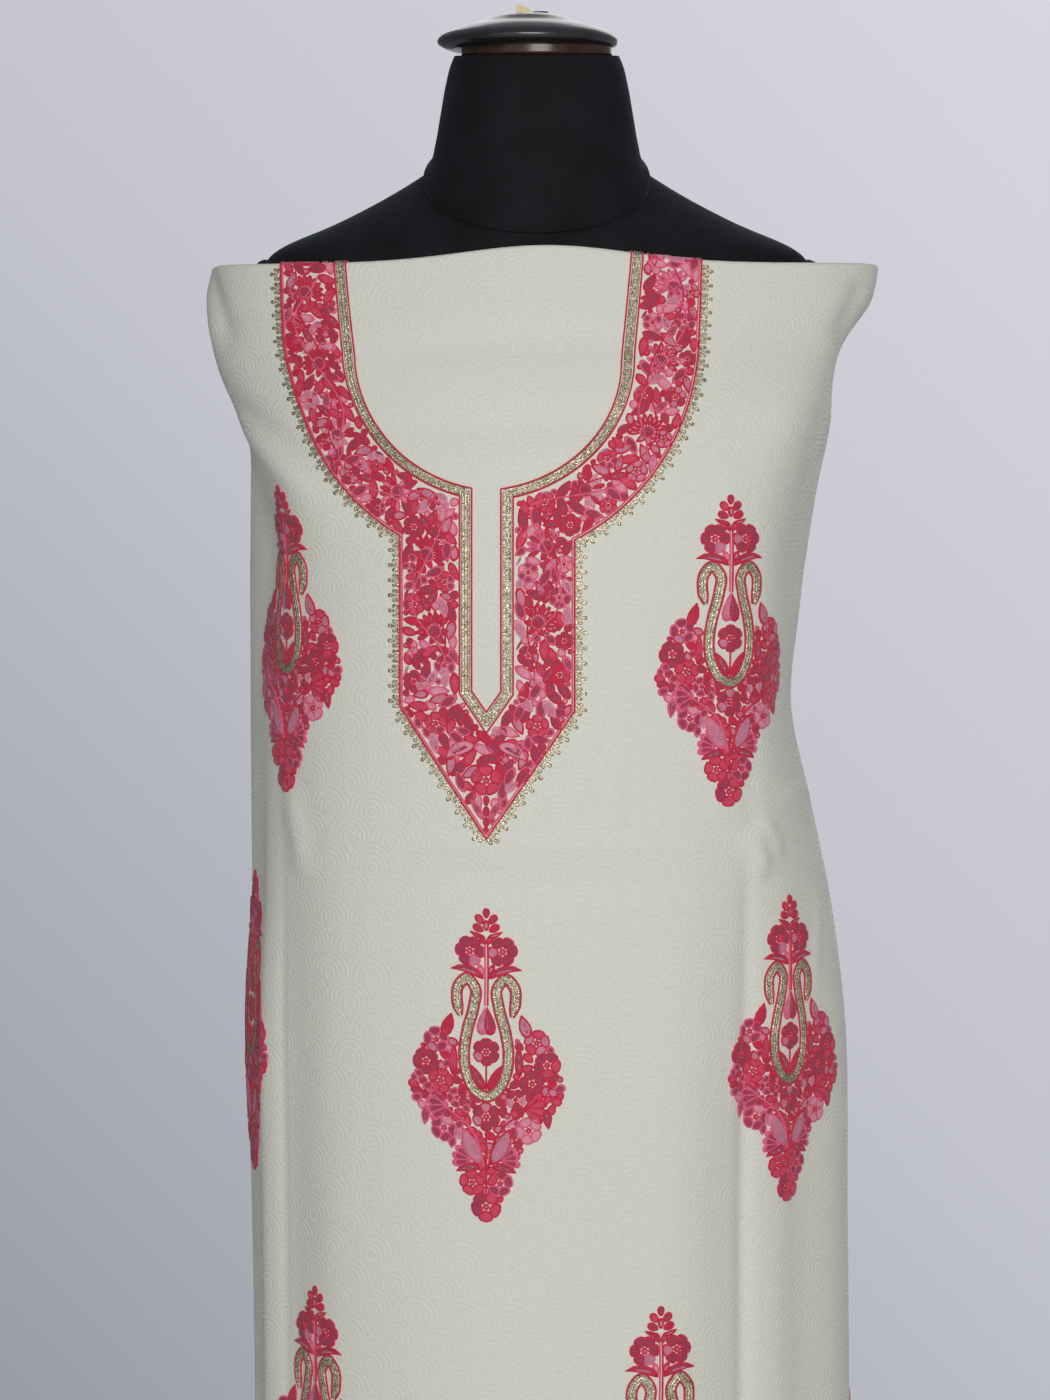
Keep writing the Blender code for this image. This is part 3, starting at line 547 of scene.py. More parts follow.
# %% The kameez
def make_cloth():
    """The length wrapped once round the form, with its UV map running unbroken over the fold."""
    columns = spread(-CLOTH_WIDTH / 2, CLOTH_WIDTH / 2, 236,
                     lambda u: 1 + 1.8 * smooth_step(-np.abs(u), -0.34, -0.26))
    rows = cloth_rows()
    points = SURFACE.read(columns[None, :], rows[:, :1], rows[:, 1:])
    length = path_length(rows)
    v = rows[-1, 0] + (length[-1] - length)
    uv = np.stack(np.broadcast_arrays(columns[None, :], v[:, None] - weave_rise(columns)), axis=-1)
    mesh = mesh_of("kameez", points, grid_quads(len(rows), len(columns)))
    add_uv(mesh, uv)
    cloth = add_piece("kameez", mesh, WOOL, ["kameez_cloth"])
    wall = cloth.modifiers.new("wall", "SOLIDIFY")
    wall.thickness, wall.offset, wall.use_even_offset = CLOTH_WALL, 0.0, True
    return cloth


kameez = make_cloth()
print("kameez", len(kameez.data.polygons), "quads, box",
      [round(v, 3) for v in np.ptp([v.co for v in kameez.data.vertices], axis=0)])

# %% [markdown]
# ## Chain stitch, laid out flat
#
# The flowers are aari work: wool thread pulled through with a hooked needle, in chain stitches that
# first draw a petal's outline and then fill it, row beside row. On the real cloth each petal is a
# small cushion of thread about 1 mm high with a raised rim. So the embroidery is drawn flat first,
# in millimetres, as petals and cords, and is then laid on the cloth's surface as real relief. x is
# to the right and y is down, and headings turn from +x towards +y.

# %% Petals
THREADS = {"crimson": "#CB1A40", "plum": "#A63350", "pink": "#E25F80", "lilac": "#CC7D95",
           "blush": "#E28FA3", "rose": "#D4405F"}
Petal = namedtuple("Petal", "x y heading length width near far bend line fill lift")
RINGS = np.array([0.0, 0.52, 0.84, 1.0])
RING_HEIGHTS = np.array([0.80, 0.62, 0.95, -0.30])    # mm, for a petal over 4.5 mm wide
SPOKES = 12
EDGE_SINK = -0.30                # mm: where a cord's sides end, inside the cloth's wall
CORD_EDGE = 0.35                 # mm: the distance from the outline that a cord is shaded with


def petal_shape(petals, rings, spokes):
    """Points of every petal at once, as arrays [petal, ring, spoke] of x and y.

    Round the petal, a = (1 - cos t) / 2 runs from its base to its tip, and its half width there is
    a ** near * (1 - a) ** far, scaled to the petal's width. Rings shrink that outline towards the
    middle, and the axis bends along an arc of a circle."""
    field = {name: np.array([getattr(p, name) for p in petals], float)[:, None, None]
             for name in ("x", "y", "heading", "length", "width", "near", "far", "bend")}
    t = np.arange(spokes) * 2 * math.pi / spokes
    near, far = field["near"], field["far"]
    a = (1 - np.cos(t))[None, None, :] / 2
    peak = near ** near * far ** far / (near + far) ** (near + far)
    half = field["width"] / 2 * a ** near * (1 - a) ** far / peak * np.sign(np.sin(t) + 1e-9)
    ring = np.asarray(rings)[None, :, None]
    a, half = 0.5 + (a - 0.5) * ring, half * ring
    heading = np.radians(field["heading"])
    bend = np.radians(field["bend"]) + 1e-4
    turned = heading + bend * (a - 0.5)
    x = field["x"] + field["length"] / bend * (np.sin(turned) - np.sin(heading - bend / 2))
    y = field["y"] - field["length"] / bend * (np.cos(turned) - np.cos(heading - bend / 2))
    return x - np.sin(turned) * half, y + np.cos(turned) * half


print(SPOKES * (len(RINGS) - 1) + 1, "points in a petal")


# %% The faces of a petal
def petal_faces(count):
    """Triangles of the polar template, repeated for each petal: a fan, then two per ring cell."""
    ring = np.arange(1, 1 + (len(RINGS) - 1) * SPOKES).reshape(-1, SPOKES)
    after = np.roll(ring, -1, axis=1)
    fan = np.stack([np.zeros(SPOKES, int), ring[0], after[0]], axis=-1)
    one = np.stack([ring[:-1], ring[1:], after[1:]], axis=-1).reshape(-1, 3)
    two = np.stack([ring[:-1], after[1:], after[:-1]], axis=-1).reshape(-1, 3)
    template = np.concatenate([fan, one, two])
    return (template[None] + (np.arange(count) * (1 + ring.size))[:, None, None]).reshape(-1, 3)


print("a petal has", len(petal_faces(1)), "triangles")

# %% Collecting stitches into one mesh
class Stitches:
    """Flat embroidery: points (x, y, height) in mm, triangles, two thread colours and an edge."""

    def __init__(self):
        self.parts, self.count = [], 0

    def add(self, points, faces, line, fill, edge):
        """One more part, whose faces count its own points from 0."""
        self.parts.append((points, faces + self.count, line, fill, edge))
        self.count += len(points)

    def add_petals(self, petals):
        """edge is the distance in from the outline, which the thread finish turns into rows."""
        x, y = petal_shape(petals, RINGS, SPOKES)
        width = np.array([p.width for p in petals])[:, None, None]
        reach = np.hypot(x[:, -1:] - x[:, :1], y[:, -1:] - y[:, :1])
        inward = (1 - RINGS)[None, :, None] * np.minimum(reach, width / 2)
        low = np.clip(width / 4.5, 0.55, 1.0)
        lift = np.array([p.lift for p in petals])[:, None, None]
        raised = (RINGS < 1)[None, :, None] * lift
        grids = np.broadcast_arrays(x, y, RING_HEIGHTS[None, :, None] * low + raised, inward)
        flat = [np.concatenate([g[:, :1, 0], g[:, 1:].reshape(len(petals), -1)], axis=1).ravel()
                for g in grids]
        each = 1 + (len(RINGS) - 1) * SPOKES
        colours = [np.repeat([linear(THREADS[getattr(p, part)]) for p in petals], each, axis=0)
                   for part in ("line", "fill")]
        self.add(np.stack(flat[:3], axis=-1), petal_faces(len(petals)), *colours, flat[3])

    def add_cord(self, path, width, height, thread, lift=0.0, stitch=2.2, lobes=1):
        """A half-round cord along a path. Each lobe across it is one row of chain stitches: width
        and height swell once in each stitch, as the sine of the length along the path."""
        along = path_length(path)
        s = np.arange(0, along[-1], 0.62)
        centre = np.stack([np.interp(s, along, path[:, k]) for k in (0, 1)], axis=-1)
        tangent = np.gradient(centre, axis=0)
        tangent /= np.linalg.norm(tangent, axis=1, keepdims=True) + 1e-12
        side = np.stack([-tangent[:, 1], tangent[:, 0]], axis=-1)
        width = np.interp(s, along, np.broadcast_to(width, len(path)))[:, None]
        across = np.linspace(-1, 1, 4 * lobes + 1)[None, :]
        lobe = (across + 1) * lobes / 2
        row = np.abs(np.sin(math.pi * (s[:, None] / stitch + 0.37 * np.floor(lobe))))
        arch = np.abs(np.sin(math.pi * lobe)) ** 0.6
        swell = 1 + 0.10 * (row - 0.5)
        tall = height * (0.35 + 0.65 * arch) * (0.78 + 0.30 * row) + lift
        tall[:, [0, -1]] = EDGE_SINK
        point = centre[:, None, :] + side[:, None, :] * (across * swell * width / 2)[..., None]
        points = np.concatenate([point, tall[..., None]], axis=-1).reshape(-1, 3)
        quads = grid_quads(len(s), across.size)[:, ::-1]
        faces = np.concatenate([quads[:, [0, 1, 2]], quads[:, [0, 2, 3]]])
        colour = np.tile(linear(THREADS[thread]), (len(points), 1))
        self.add(points, faces, colour, colour, np.full(len(points), CORD_EDGE))

    def piece(self, name, finish, middle, top_z, replaced, slot):
        """Lays the stitches on the cloth with y = 0 at top_z, and makes them an object."""
        points, faces, line, fill, edge = map(np.concatenate, zip(*self.parts))
        u = middle + points[:, 0] / 1000
        v = top_z - points[:, 1] / 1000 + weave_rise(u)
        mesh = mesh_of(name, lay_on_cloth(u, v, CLOTH_WALL / 2 + points[:, 2] / 1000), faces)
        for attribute, kind, field, values in (("line", "FLOAT_COLOR", "color", line),
                                               ("fill", "FLOAT_COLOR", "color", fill),
                                               ("edge", "FLOAT", "value", edge)):
            layer = mesh.attributes.new(attribute, kind, "POINT")
            layer.data.foreach_set(field, values.astype(np.float32).ravel())
        add_uv(mesh, np.stack([u, v], axis=-1))
        return add_piece(name, mesh, finish, replaced)


def lay_on_cloth(u, v, out):
    """The place of a stitch: v is the height on the cloth before its top was folded in, so past
    the fold it runs round a half circle and then down the inside."""
    start = TOP_Z - FOLD_RADIUS
    turn = np.clip((v - start) / FOLD_RADIUS, 0, math.pi)
    past = np.clip(v - start - math.pi * FOLD_RADIUS, 0, None)
    reach = FOLD_RADIUS + out
    z = np.where(v < start, v, start + reach * np.sin(turn) - past)
    return SURFACE.read(u, z, np.where(v < start, out, reach * np.cos(turn) - FOLD_RADIUS))


print("the fold begins at", round(TOP_Z - FOLD_RADIUS, 4), "m")

# %% [markdown]
# ## Wool and metal thread
#
# Crewel wool is matt with a soft sheen and its colour varies a little from skein to skein. The
# petal's outline takes one thread and its filling another: the shader compares the stored distance
# from the edge with the width of the outline, and with the same number gives the rows of stitches,
# 1.2 mm apart, their relief and a painted shade, lighter and darker row by row. Tilla, the metal
# thread, is flat gilt silver wound on a cotton core. Its pale and brown glints, under a millimetre
# across, are painted into its colour with Voronoi cells, as painted highlights and dark
# reflections.

# %% Crewel wool
STITCH_ROW = 1.2        # mm between rows of chain stitch


def crewel_wool():
    """Two-coloured chain stitch in soft wool, with painted shade between its rows."""
    made, tree, shader = new_material(
        "crewel wool chain stitch", Roughness=0.70, Sheen_Weight=0.25, Sheen_Roughness=0.5, IOR=1.5)
    line, fill, edge = (add_node(tree, "ShaderNodeAttribute", attribute_name=name).outputs[socket]
                        for name, socket in (("line", "Color"), ("fill", "Color"), ("edge", "Fac")))
    place = add_node(tree, "ShaderNodeTexCoord").outputs["Object"]
    fuzz, patchy = (add_node(tree, "ShaderNodeTexNoise", {
        "Vector": place, "Scale": scale, "Detail": detail})
        for scale, detail in ((900.0, 2.0), (260.0, 3.0)))
    ragged = add_node(tree, MATH, [fuzz, 0.5, edge], operation="MULTIPLY_ADD")
    inner = add_node(tree, "ShaderNodeMapRange",
                     {"Value": ragged, "From Min": 1.38, "From Max": 1.68},
                     interpolation_type="SMOOTHSTEP")
    thread = add_node(tree, "ShaderNodeMix", {"Factor": inner, "A": line, "B": fill},
                      data_type="RGBA").outputs["Result"]
    turn = add_node(tree, MATH, [edge, 2 * math.pi / STITCH_ROW], operation="MULTIPLY")
    rows = add_node(tree, MATH, [turn], operation="COSINE")
    faded = add_node(tree, MATH, [patchy, 0.55, 0.72], operation="MULTIPLY_ADD")
    # Painted shade: the same cosine makes each row of stitches lighter and darker in turn.
    painted_shade = add_node(tree, MATH, [rows, 0.06], operation="MULTIPLY")
    value = add_node(tree, MATH, [faded, painted_shade], operation="ADD")
    add_node(tree, "ShaderNodeHueSaturation", {"Color": thread, "Value": value},
             shader.inputs["Base Color"])
    fluff = add_node(tree, MATH, [fuzz, 1.1], operation="MULTIPLY")
    relief = add_node(tree, MATH, [rows, -0.35, fluff], operation="MULTIPLY_ADD")
    add_node(tree, "ShaderNodeBump", {"Height": relief, "Strength": 0.7, "Distance": 0.0003},
             shader.inputs["Normal"])
    return made


# %% Metal thread
def tilla_thread():
    """Silver-gilt metal thread in chain stitch: a metal with a fine, broken glitter, whose glints
    are partly painted into its colour.
    """
    made, tree, shader = new_material("tilla silver-gilt thread", Metallic=0.75)
    place = add_node(tree, "ShaderNodeTexCoord").outputs["Object"]
    cells = add_node(tree, "ShaderNodeTexVoronoi", {"Vector": place, "Scale": 1500.0})
    glint = add_node(tree, "ShaderNodeSeparateXYZ", {"Vector": cells.outputs["Color"]})
    # Painted glints and painted dark reflections: each cell takes a colour from brown to near white
    # on the gilt's tone.
    colour = add_node(tree, "ShaderNodeValToRGB", {"Fac": glint.outputs["X"]},
                      shader.inputs["Base Color"])
    set_ramp(colour, [(0.0, "#75674A"), (0.30, "#A59877"), (0.62, "#CFC4A6"), (1.0, "#F6F0DE")])
    add_node(tree, MATH, [glint.outputs["Y"], 0.35, 0.22], shader.inputs["Roughness"],
             operation="MULTIPLY_ADD")
    relief = add_node(tree, MATH, [glint.outputs["Z"], cells.outputs["Distance"]], operation="ADD")
    add_node(tree, "ShaderNodeBump", {"Height": relief, "Strength": 0.6, "Distance": 0.0003},
             shader.inputs["Normal"])
    return made


CREWEL, TILLA = crewel_wool(), tilla_thread()
print(CREWEL.name, "and", TILLA.name)

# %% [markdown]
# ## Flowers and leaves
#
# All of the embroidery is built from a few figures: an open flower of five or six round petals, a
# daisy seen from the side as a fan over a cup of sepals, a pointed leaf with a stripe down it, a
# berry and a curled stem. Each figure is a rule for a handful of petals. The threads are drawn from
# a small bag of pairs, outline and filling, with a seeded generator, so each run is the same.

# %% The figures
BUTA_SEED, PICOT_SEED, NECK_SEED = 11, 5, 23
PAIRS = [("crimson", "plum"), ("crimson", "lilac"), ("pink", "plum"), ("crimson", "rose"),
         ("pink", "blush"), ("blush", "lilac"), ("crimson", "crimson")]
# How often each pair is drawn, in the neckline and on the left and right of a buta.
NECK_SHARES = (0.28, 0.14, 0.15, 0.14, 0.15, 0.08, 0.06)
SIDE_SHARES = {-1: (0.28, 0.09, 0.20, 0.22, 0.12, 0.03, 0.06),
               1: (0.30, 0.17, 0.17, 0.22, 0.04, 0.03, 0.07)}


print(len(PAIRS), "pairs of threads")


# %% A layout of petals
def polar(x, y, distance, heading):
    """The point at a distance from (x, y) towards a heading in degrees."""
    a = math.radians(heading)
    return x + distance * math.cos(a), y + distance * math.sin(a)


class Layout:
    """A list of petals with the rules that add figures to it."""

    def __init__(self, seed, shares=None):
        self.rng = np.random.default_rng(seed)
        self.shares = shares
        self.petals = []

    def pair(self, x):
        """An outline and a filling; the two halves of a motif favour different ones."""
        shares = self.shares or SIDE_SHARES[1 if x >= 0 else -1]
        return PAIRS[self.rng.choice(len(PAIRS), p=np.array(shares) / sum(shares))]

    def petal(self, x, y, heading, length, width, near=0.62, far=0.48, bend=0.0, pair=None,
              lift=None):
        """One petal; a thread pair and a lift that aren't given are drawn at random."""
        line, fill = pair or self.pair(x)
        lift = self.rng.uniform(0.0, 0.22) if lift is None else lift
        self.petals.append(Petal(x, y, heading, length, width, near, far, bend, line, fill, lift))

    def leaf(self, x, y, heading, length, width, bend=0.0, pair=None):
        """A pointed leaf, and a slim stripe of another thread along it."""
        pair = pair or self.pair(x)
        self.petal(x, y, heading, length, width, 0.60, 0.90, bend, pair, 0.30)
        if length > 8.5:
            stripe = "plum" if pair[1] != "plum" else "lilac"
            self.petal(*polar(x, y, 0.22 * length, heading - bend * 0.3), heading, 0.50 * length,
                       0.28 * width, 0.6, 0.8, bend * 0.5, (stripe, stripe), 0.62)

    def flower(self, x, y, radius, count=5, start=-90.0, pairs=None):
        """count round petals about a small centre."""
        pairs = pairs or [self.pair(x), self.pair(x)]
        for k in range(count):
            heading = start + 360.0 * k / count + self.rng.uniform(-4, 4)
            self.petal(*polar(x, y, 0.20 * radius, heading), heading, 0.80 * radius,
                       5.2 * radius / count, 0.66, 0.44,
                       pair=pairs[0] if self.rng.random() < 0.65 else pairs[1])
        self.petal(x - 0.22 * radius, y, 0, 0.44 * radius, 0.44 * radius, 0.5, 0.5,
                   pair=("crimson", "pink"), lift=0.45)

    def daisy(self, x, y, heading, radius, count=9):
        """A fan of narrow petals over a half-round eye, with three sepals under it."""
        outer, other = self.pair(x), self.pair(x)
        for k in range(count):
            turn = heading - 78 + 156 * k / (count - 1)
            self.petal(*polar(x, y, 0.30 * radius, turn), turn, 0.70 * radius,
                       2.5 * radius / count, 0.8, 0.5, pair=outer if k % 3 else other)
        self.petal(*polar(x, y, -0.34 * radius, heading), heading, 0.72 * radius, 0.78 * radius,
                   0.5, 0.5, pair=("pink", "plum"), lift=0.35)
        for turn in (-118, 118, 180):
            self.petal(x, y, heading + turn, 0.72 * radius, 0.36 * radius, 0.7, 0.8, pair=other,
                       bend=-turn * 0.25 if turn != 180 else 0, lift=0.28)

    def stitches(self):
        """The petals as stitches."""
        made = Stitches()
        made.add_petals(self.petals)
        return made


print("a daisy's petals start", round(polar(0, 0, 0.3 * 13.5, 0)[0], 2), "mm from its middle")

# %% Filling what is left bare
CELL = 0.7          # mm, the grid on which covered ground is counted


class Ground:
    """A flat grid of cells: where embroidery may go, and where it already is."""

    def __init__(self, left, top, right, bottom, allowed):
        self.left, self.top = left, top
        self.shape = (int((bottom - top) / CELL) + 2, int((right - left) / CELL) + 2)
        y, x = np.mgrid[:self.shape[0], :self.shape[1]] * CELL
        self.closed = ~allowed(x + left, y + top)
        self.covered = np.zeros(self.shape, bool)

    def cells(self, petals):
        """Row and column of the cells under each petal, sampled along its rings."""
        x, y = petal_shape(petals, np.linspace(0.1, 0.98, 7), 22)
        column = np.clip(((x - self.left) / CELL).astype(int), 0, self.shape[1] - 1)
        row = np.clip(((y - self.top) / CELL).astype(int), 0, self.shape[0] - 1)
        return row.reshape(len(petals), -1), column.reshape(len(petals), -1)

    def cover(self, petals):
        """Marks the ground under the petals as covered."""
        self.covered[self.cells(petals)] = True

    def fill(self, layout, sizes, tries, overlap):
        """Throws petals of each size at random, and keeps those that land mostly on bare ground."""
        rng = layout.rng
        for length, width, far in sizes:
            free = np.argwhere(~self.closed & ~self.covered)
            if not len(free):
                return
            spots = free[rng.integers(len(free), size=tries)] * CELL + (self.top, self.left)
            headings = rng.uniform(0, 360, tries)
            thrown = []
            for (y, x), heading in zip(spots, headings):
                thrown.append(Petal(*polar(x, y, -length / 2, heading), heading, length, width,
                                    0.62, far, rng.uniform(-30, 30), *layout.pair(x),
                                    rng.uniform(0.0, 0.15)))
            rows, columns = self.cells(thrown)
            for petal, row, column in zip(thrown, rows, columns):
                shut, taken = self.closed[row, column], self.covered[row, column]
                blocked = shut.mean() * 2.5 + taken.mean()
                if blocked < overlap:
                    layout.petals.append(petal)
                    self.covered[row, column] = True


print("threads", ", ".join(THREADS))

# %% [markdown]
# ## The buta, a flower motif
#
# A buta is a single flower spray that is repeated over the cloth. This one, 104 mm wide and 204 mm
# tall, has a berried tip, a pair of blossoms, two arched leaves, a lyre of metal thread that holds
# a bud, and a wide spray of blossoms that narrows to a point. Each side mirrors the other in shape
# but not in thread. Its figures are placed by a short table, and petals thrown at random fill the
# rest.

# %% The buta's figures
Figure = namedtuple("Figure", "kind x y heading size width bend")
BUTA_FIGURES = [Figure(*row) for row in (
    ("petal", 0.0, 7.4, -90, 7.2, 5.2, 0), ("petal", 1.6, 11.0, -48, 8.0, 5.8, 0),
    ("petal", 1.4, 15.6, -26, 8.4, 5.8, 0), ("petal", 0.0, 15.5, -90, 7.6, 4.6, 0),
    ("leaf", 0.8, 19.6, -20, 11.0, 3.6, -24), ("petal", 0.5, 24.5, -62, 8.0, 4.6, 0),
    ("flower6", 10.6, 29.0, -60, 10.2, 0, 0), ("petal", 1.5, 44.0, -62, 8.0, 4.2, 10),
    ("leaf", 1.2, 46.8, -12, 25.0, 6.0, 74), ("bud", 0.4, 63.0, 82, 20.5, 8.4, 0),
    ("flower6", 0.0, 93.5, -90, 9.4, 0, 0), ("leaf", 1.2, 118.5, -60, 19.5, 6.4, 12),
    ("leaf", 28.4, 86.0, -110, 17.5, 8.6, 16), ("flower5", 32.6, 88.4, -80, 8.8, 0, 0),
    ("leaf", 21.6, 111.0, -92, 22.5, 6.2, 0), ("flower5", 39.4, 103.0, -60, 9.2, 0, 0),
    ("flower5", 29.6, 114.6, -30, 8.8, 0, 0), ("petal", 43.4, 119.4, -12, 8.4, 6.4, 0),
    ("petal", 41.0, 125.4, 18, 8.6, 6.4, 0), ("petal", 40.6, 113.6, -34, 7.8, 6.0, 0),
    ("fan", 24.0, 130.0, 4, 16.5, 6.4, 0), ("leaf", 38.5, 131.0, 82, 14.0, 6.8, 0),
    ("flower5", 27.4, 145.0, -40, 9.2, 0, 0), ("flower5", 19.0, 124.6, 10, 7.0, 0, 0),
    ("flower6", 0.0, 135.2, -90, 9.8, 0, 0), ("petal", 9.6, 128.4, -40, 5.2, 4.8, 0),
    ("petal", 10.8, 135.0, 0, 5.2, 4.8, 0), ("pale leaf", 2.6, 167.0, -62, 27.5, 11.0, -14),
    ("fan", 8.8, 164.0, -24, 14.2, 5.8, 0), ("leaf", 3.0, 168.4, 14, 18.0, 6.6, 52),
    ("flower5", 9.0, 178.6, 60, 8.8, 0, 0), ("petal", 0.0, 179.0, 90, 8.0, 5.4, 0),
    ("flower5", 0.0, 193.4, 90, 10.2, 0, 0),
)]
print(len(BUTA_FIGURES), "rows of figures")

# %% The lyre and the outline of the spray
# The lyre's right half: from its outer tip over the top and down to the middle at the bottom.
LYRE = [(16.8, 71.5), (19.0, 61.0), (18.2, 52.5), (12.6, 46.8), (7.0, 53.0), (8.0, 64.0),
        (12.6, 82.0), (14.4, 96.0), (12.2, 110.0), (6.6, 119.4), (0.0, 122.4)]
# Half the width of the spray at distances down from the buta's tip.
SprayRow = namedtuple("SprayRow", "down half")
SPRAY = [SprayRow(*row) for row in (
    (82, 33), (92, 43), (104, 47), (118, 51), (128, 49), (140, 40), (152, 27), (166, 20), (180, 16),
    (192, 9), (203, 2))]


print("the spray is", 2 * max(row.half for row in SPRAY), "mm wide")


# %% Paths
def smooth_path(points, spacing=0.6):
    """A cubic through the points, by chord length, sampled evenly."""
    points = np.array(points, float)
    knot = path_length(points)
    Knot = namedtuple("Knot", "t x y")
    table = [Knot(t, *p) for t, p in zip(knot, points)]
    t = np.linspace(0, knot[-1], int(knot[-1] / spacing) + 2)
    return np.stack([column_at(table, "x", t), column_at(table, "y", t)], axis=-1)


def offset_path(path, distance):
    """The path moved to its left by a distance."""
    tangent = np.gradient(path, axis=0)
    tangent /= np.linalg.norm(tangent, axis=1, keepdims=True)
    return path + np.stack([tangent[:, 1], -tangent[:, 0]], axis=-1) * np.reshape(distance, (-1, 1))


print("half the lyre is", round(path_length(smooth_path(LYRE))[-1]), "mm long")


# %% Placing a figure
def place_figure(layout, figure, side):
    """One row of the table on the right (side 1) or mirrored to the left (side -1)."""
    x, bend = side * figure.x, side * figure.bend
    heading = figure.heading if side > 0 else 180 - figure.heading
    pale = ("pink" if side < 0 else "crimson", "lilac")
    if figure.kind == "flower6":
        layout.flower(x, figure.y, figure.size, 6, heading, [("crimson", "plum"), pale])
    elif figure.kind == "flower5":
        layout.flower(x, figure.y, figure.size, 5, heading)
    elif figure.kind == "pale leaf":
        layout.petal(x, figure.y, heading, figure.size, figure.width, 0.6, 0.7, bend, pale, 0.35)
    elif figure.kind == "leaf":
        layout.leaf(x, figure.y, heading, figure.size, figure.width, bend)
    elif figure.kind == "bud":
        layout.petal(x, figure.y, heading, figure.size, figure.width, 1.3, 0.5, bend,
                     ("pink", "lilac") if side < 0 else ("crimson", "plum"))
    elif figure.kind == "fan":
        pair = layout.pair(x)
        for turn in (-38, -13, 12, 37):
            layout.petal(x, figure.y, heading + turn, figure.size, figure.width, 1.0, 0.45,
                         pair=pair)
    else:
        layout.petal(x, figure.y, heading, figure.size, figure.width, bend=bend)


print("kinds:", ", ".join(sorted({figure.kind for figure in BUTA_FIGURES})))

# %% The buta laid out flat
def buta_layout():
    """The whole motif in mm from its upper tip, as wool stitches and metal stitches."""
    layout = Layout(BUTA_SEED)
    for figure in BUTA_FIGURES:
        for side in (1,) if figure.x == 0 else (-1, 1):
            place_figure(layout, figure, side)
    lyre = smooth_path(LYRE + [(-x, y) for x, y in LYRE[-2::-1]])
    outer_x = np.interp(np.arange(210), *np.array(sorted((y, x + 4.6) for x, y in LYRE[4:])).T)

    def allowed(x, y):
        half = column_at(SPRAY, "half", y)
        inside_lyre = (y < 124) & (np.abs(x) < np.interp(y, np.arange(210), outer_x))
        return (y > 85) & (y < 203) & (np.abs(x) < half) & ~inside_lyre

    ground = Ground(-56, -2, 56, 208, allowed)
    ground.cover(layout.petals)
    ground.fill(layout, [(9.0, 6.2, 0.8), (6.8, 6.0, 0.48)], 400, 0.34)
    ground.fill(layout, [(6.2, 5.4, 0.48), (5.2, 4.6, 0.48), (4.2, 3.8, 0.48)], 700, 0.40)
    wool, metal = layout.stitches(), Stitches()
    stem = [(0, 20), (0.3, 40), (0, 64)]
    wool.add_cord(smooth_path([(x - 0.9, y) for x, y in stem]), 1.5, 0.9, "pink")
    wool.add_cord(smooth_path([(x + 0.9, y) for x, y in stem]), 1.5, 0.9, "crimson")
    wool.add_cord(smooth_path([(0, 102), (0, 112), (0, 119)]), 1.5, 0.9, "crimson")
    wool.add_cord(smooth_path([(0, 143), (0, 160), (0, 187)]), 1.7, 1.0, "crimson", 0.2)
    for side, thread in ((-1, "pink"), (1, "crimson")):
        curve = [(34, 124), (24, 133), (13.5, 140), (5.5, 151), (1.4, 168)]
        wool.add_cord(smooth_path([(side * x, y) for x, y in curve]), 1.9, 1.0, thread, 0.5)
    end = np.minimum(np.arange(len(lyre)), np.arange(len(lyre))[::-1]) * 0.6
    width = 5.6 * np.clip(end / 7, 0.12, 1) ** 0.6
    metal.add_cord(lyre, width, 1.0, "lilac", 0.1, 1.6, lobes=3)
    for side in (-1, 1):
        wool.add_cord(offset_path(lyre, side * (width / 2 + 0.55)), 1.3, 1.0, "crimson", 0.1)
    return wool, metal, len(layout.petals)


BUTA_WOOL, BUTA_METAL, petal_count = buta_layout()
print("a buta has", petal_count, "petals and",
      sum(len(faces) for _, faces, *_ in BUTA_WOOL.parts), "triangles")

# %% The sixteen butas
ButaBand = namedtuple("ButaBand", "name top_z columns")
BUTA_BANDS = [
    ButaBand("chest", 1.181, (-0.389, -0.149, 0.160, 0.389)),
    ButaBand("waist", 0.918, (-0.452, -0.218, 0.0, 0.213)),
    ButaBand("thigh", 0.657, (-0.339, -0.122, 0.113, 0.339)),
    ButaBand("hem", 0.403, (-0.452, -0.222, 0.0, 0.218)),
]
for band in BUTA_BANDS:
    for number, middle in enumerate(band.columns, 1):
        name = f"{band.name}_{number}"
        BUTA_WOOL.piece(f"buta_flowers_{name}", CREWEL, middle, band.top_z, [f"buta_{name}"],
                        "crimson_wool")
        BUTA_METAL.piece(f"buta_lyre_{name}", TILLA, middle, band.top_z, [], "metal_thread")
print(sum(len(band.columns) for band in BUTA_BANDS), "butas on the cloth")

# %% [markdown]
# ## The neckline
#
# The neckline is embroidered before the cloth is cut: a U with a slit, inside a wider U that ends
# in a point. Two lines bound the band, and a share between 0 and 1 says how far a stitch lies from
# the inner line to the outer one. A strip of metal thread edges the inside, wool flowers fill the
# middle, and metal trefoils, a picot, stand along the outside.

# %% The neckline's two lines
NeckLine = namedtuple("NeckLine", "top_half half_width middle_z drop leg_half shoulder_z point_z")
NECK_LINES = [
    NeckLine(0.0950, 0.0880, 1.270, 0.0825, 0.0095, 1.0570, 1.0440),     # inner
    NeckLine(0.1420, 0.1400, 1.290, 0.1494, 0.0570, 1.0430, 0.9620),     # outer
]


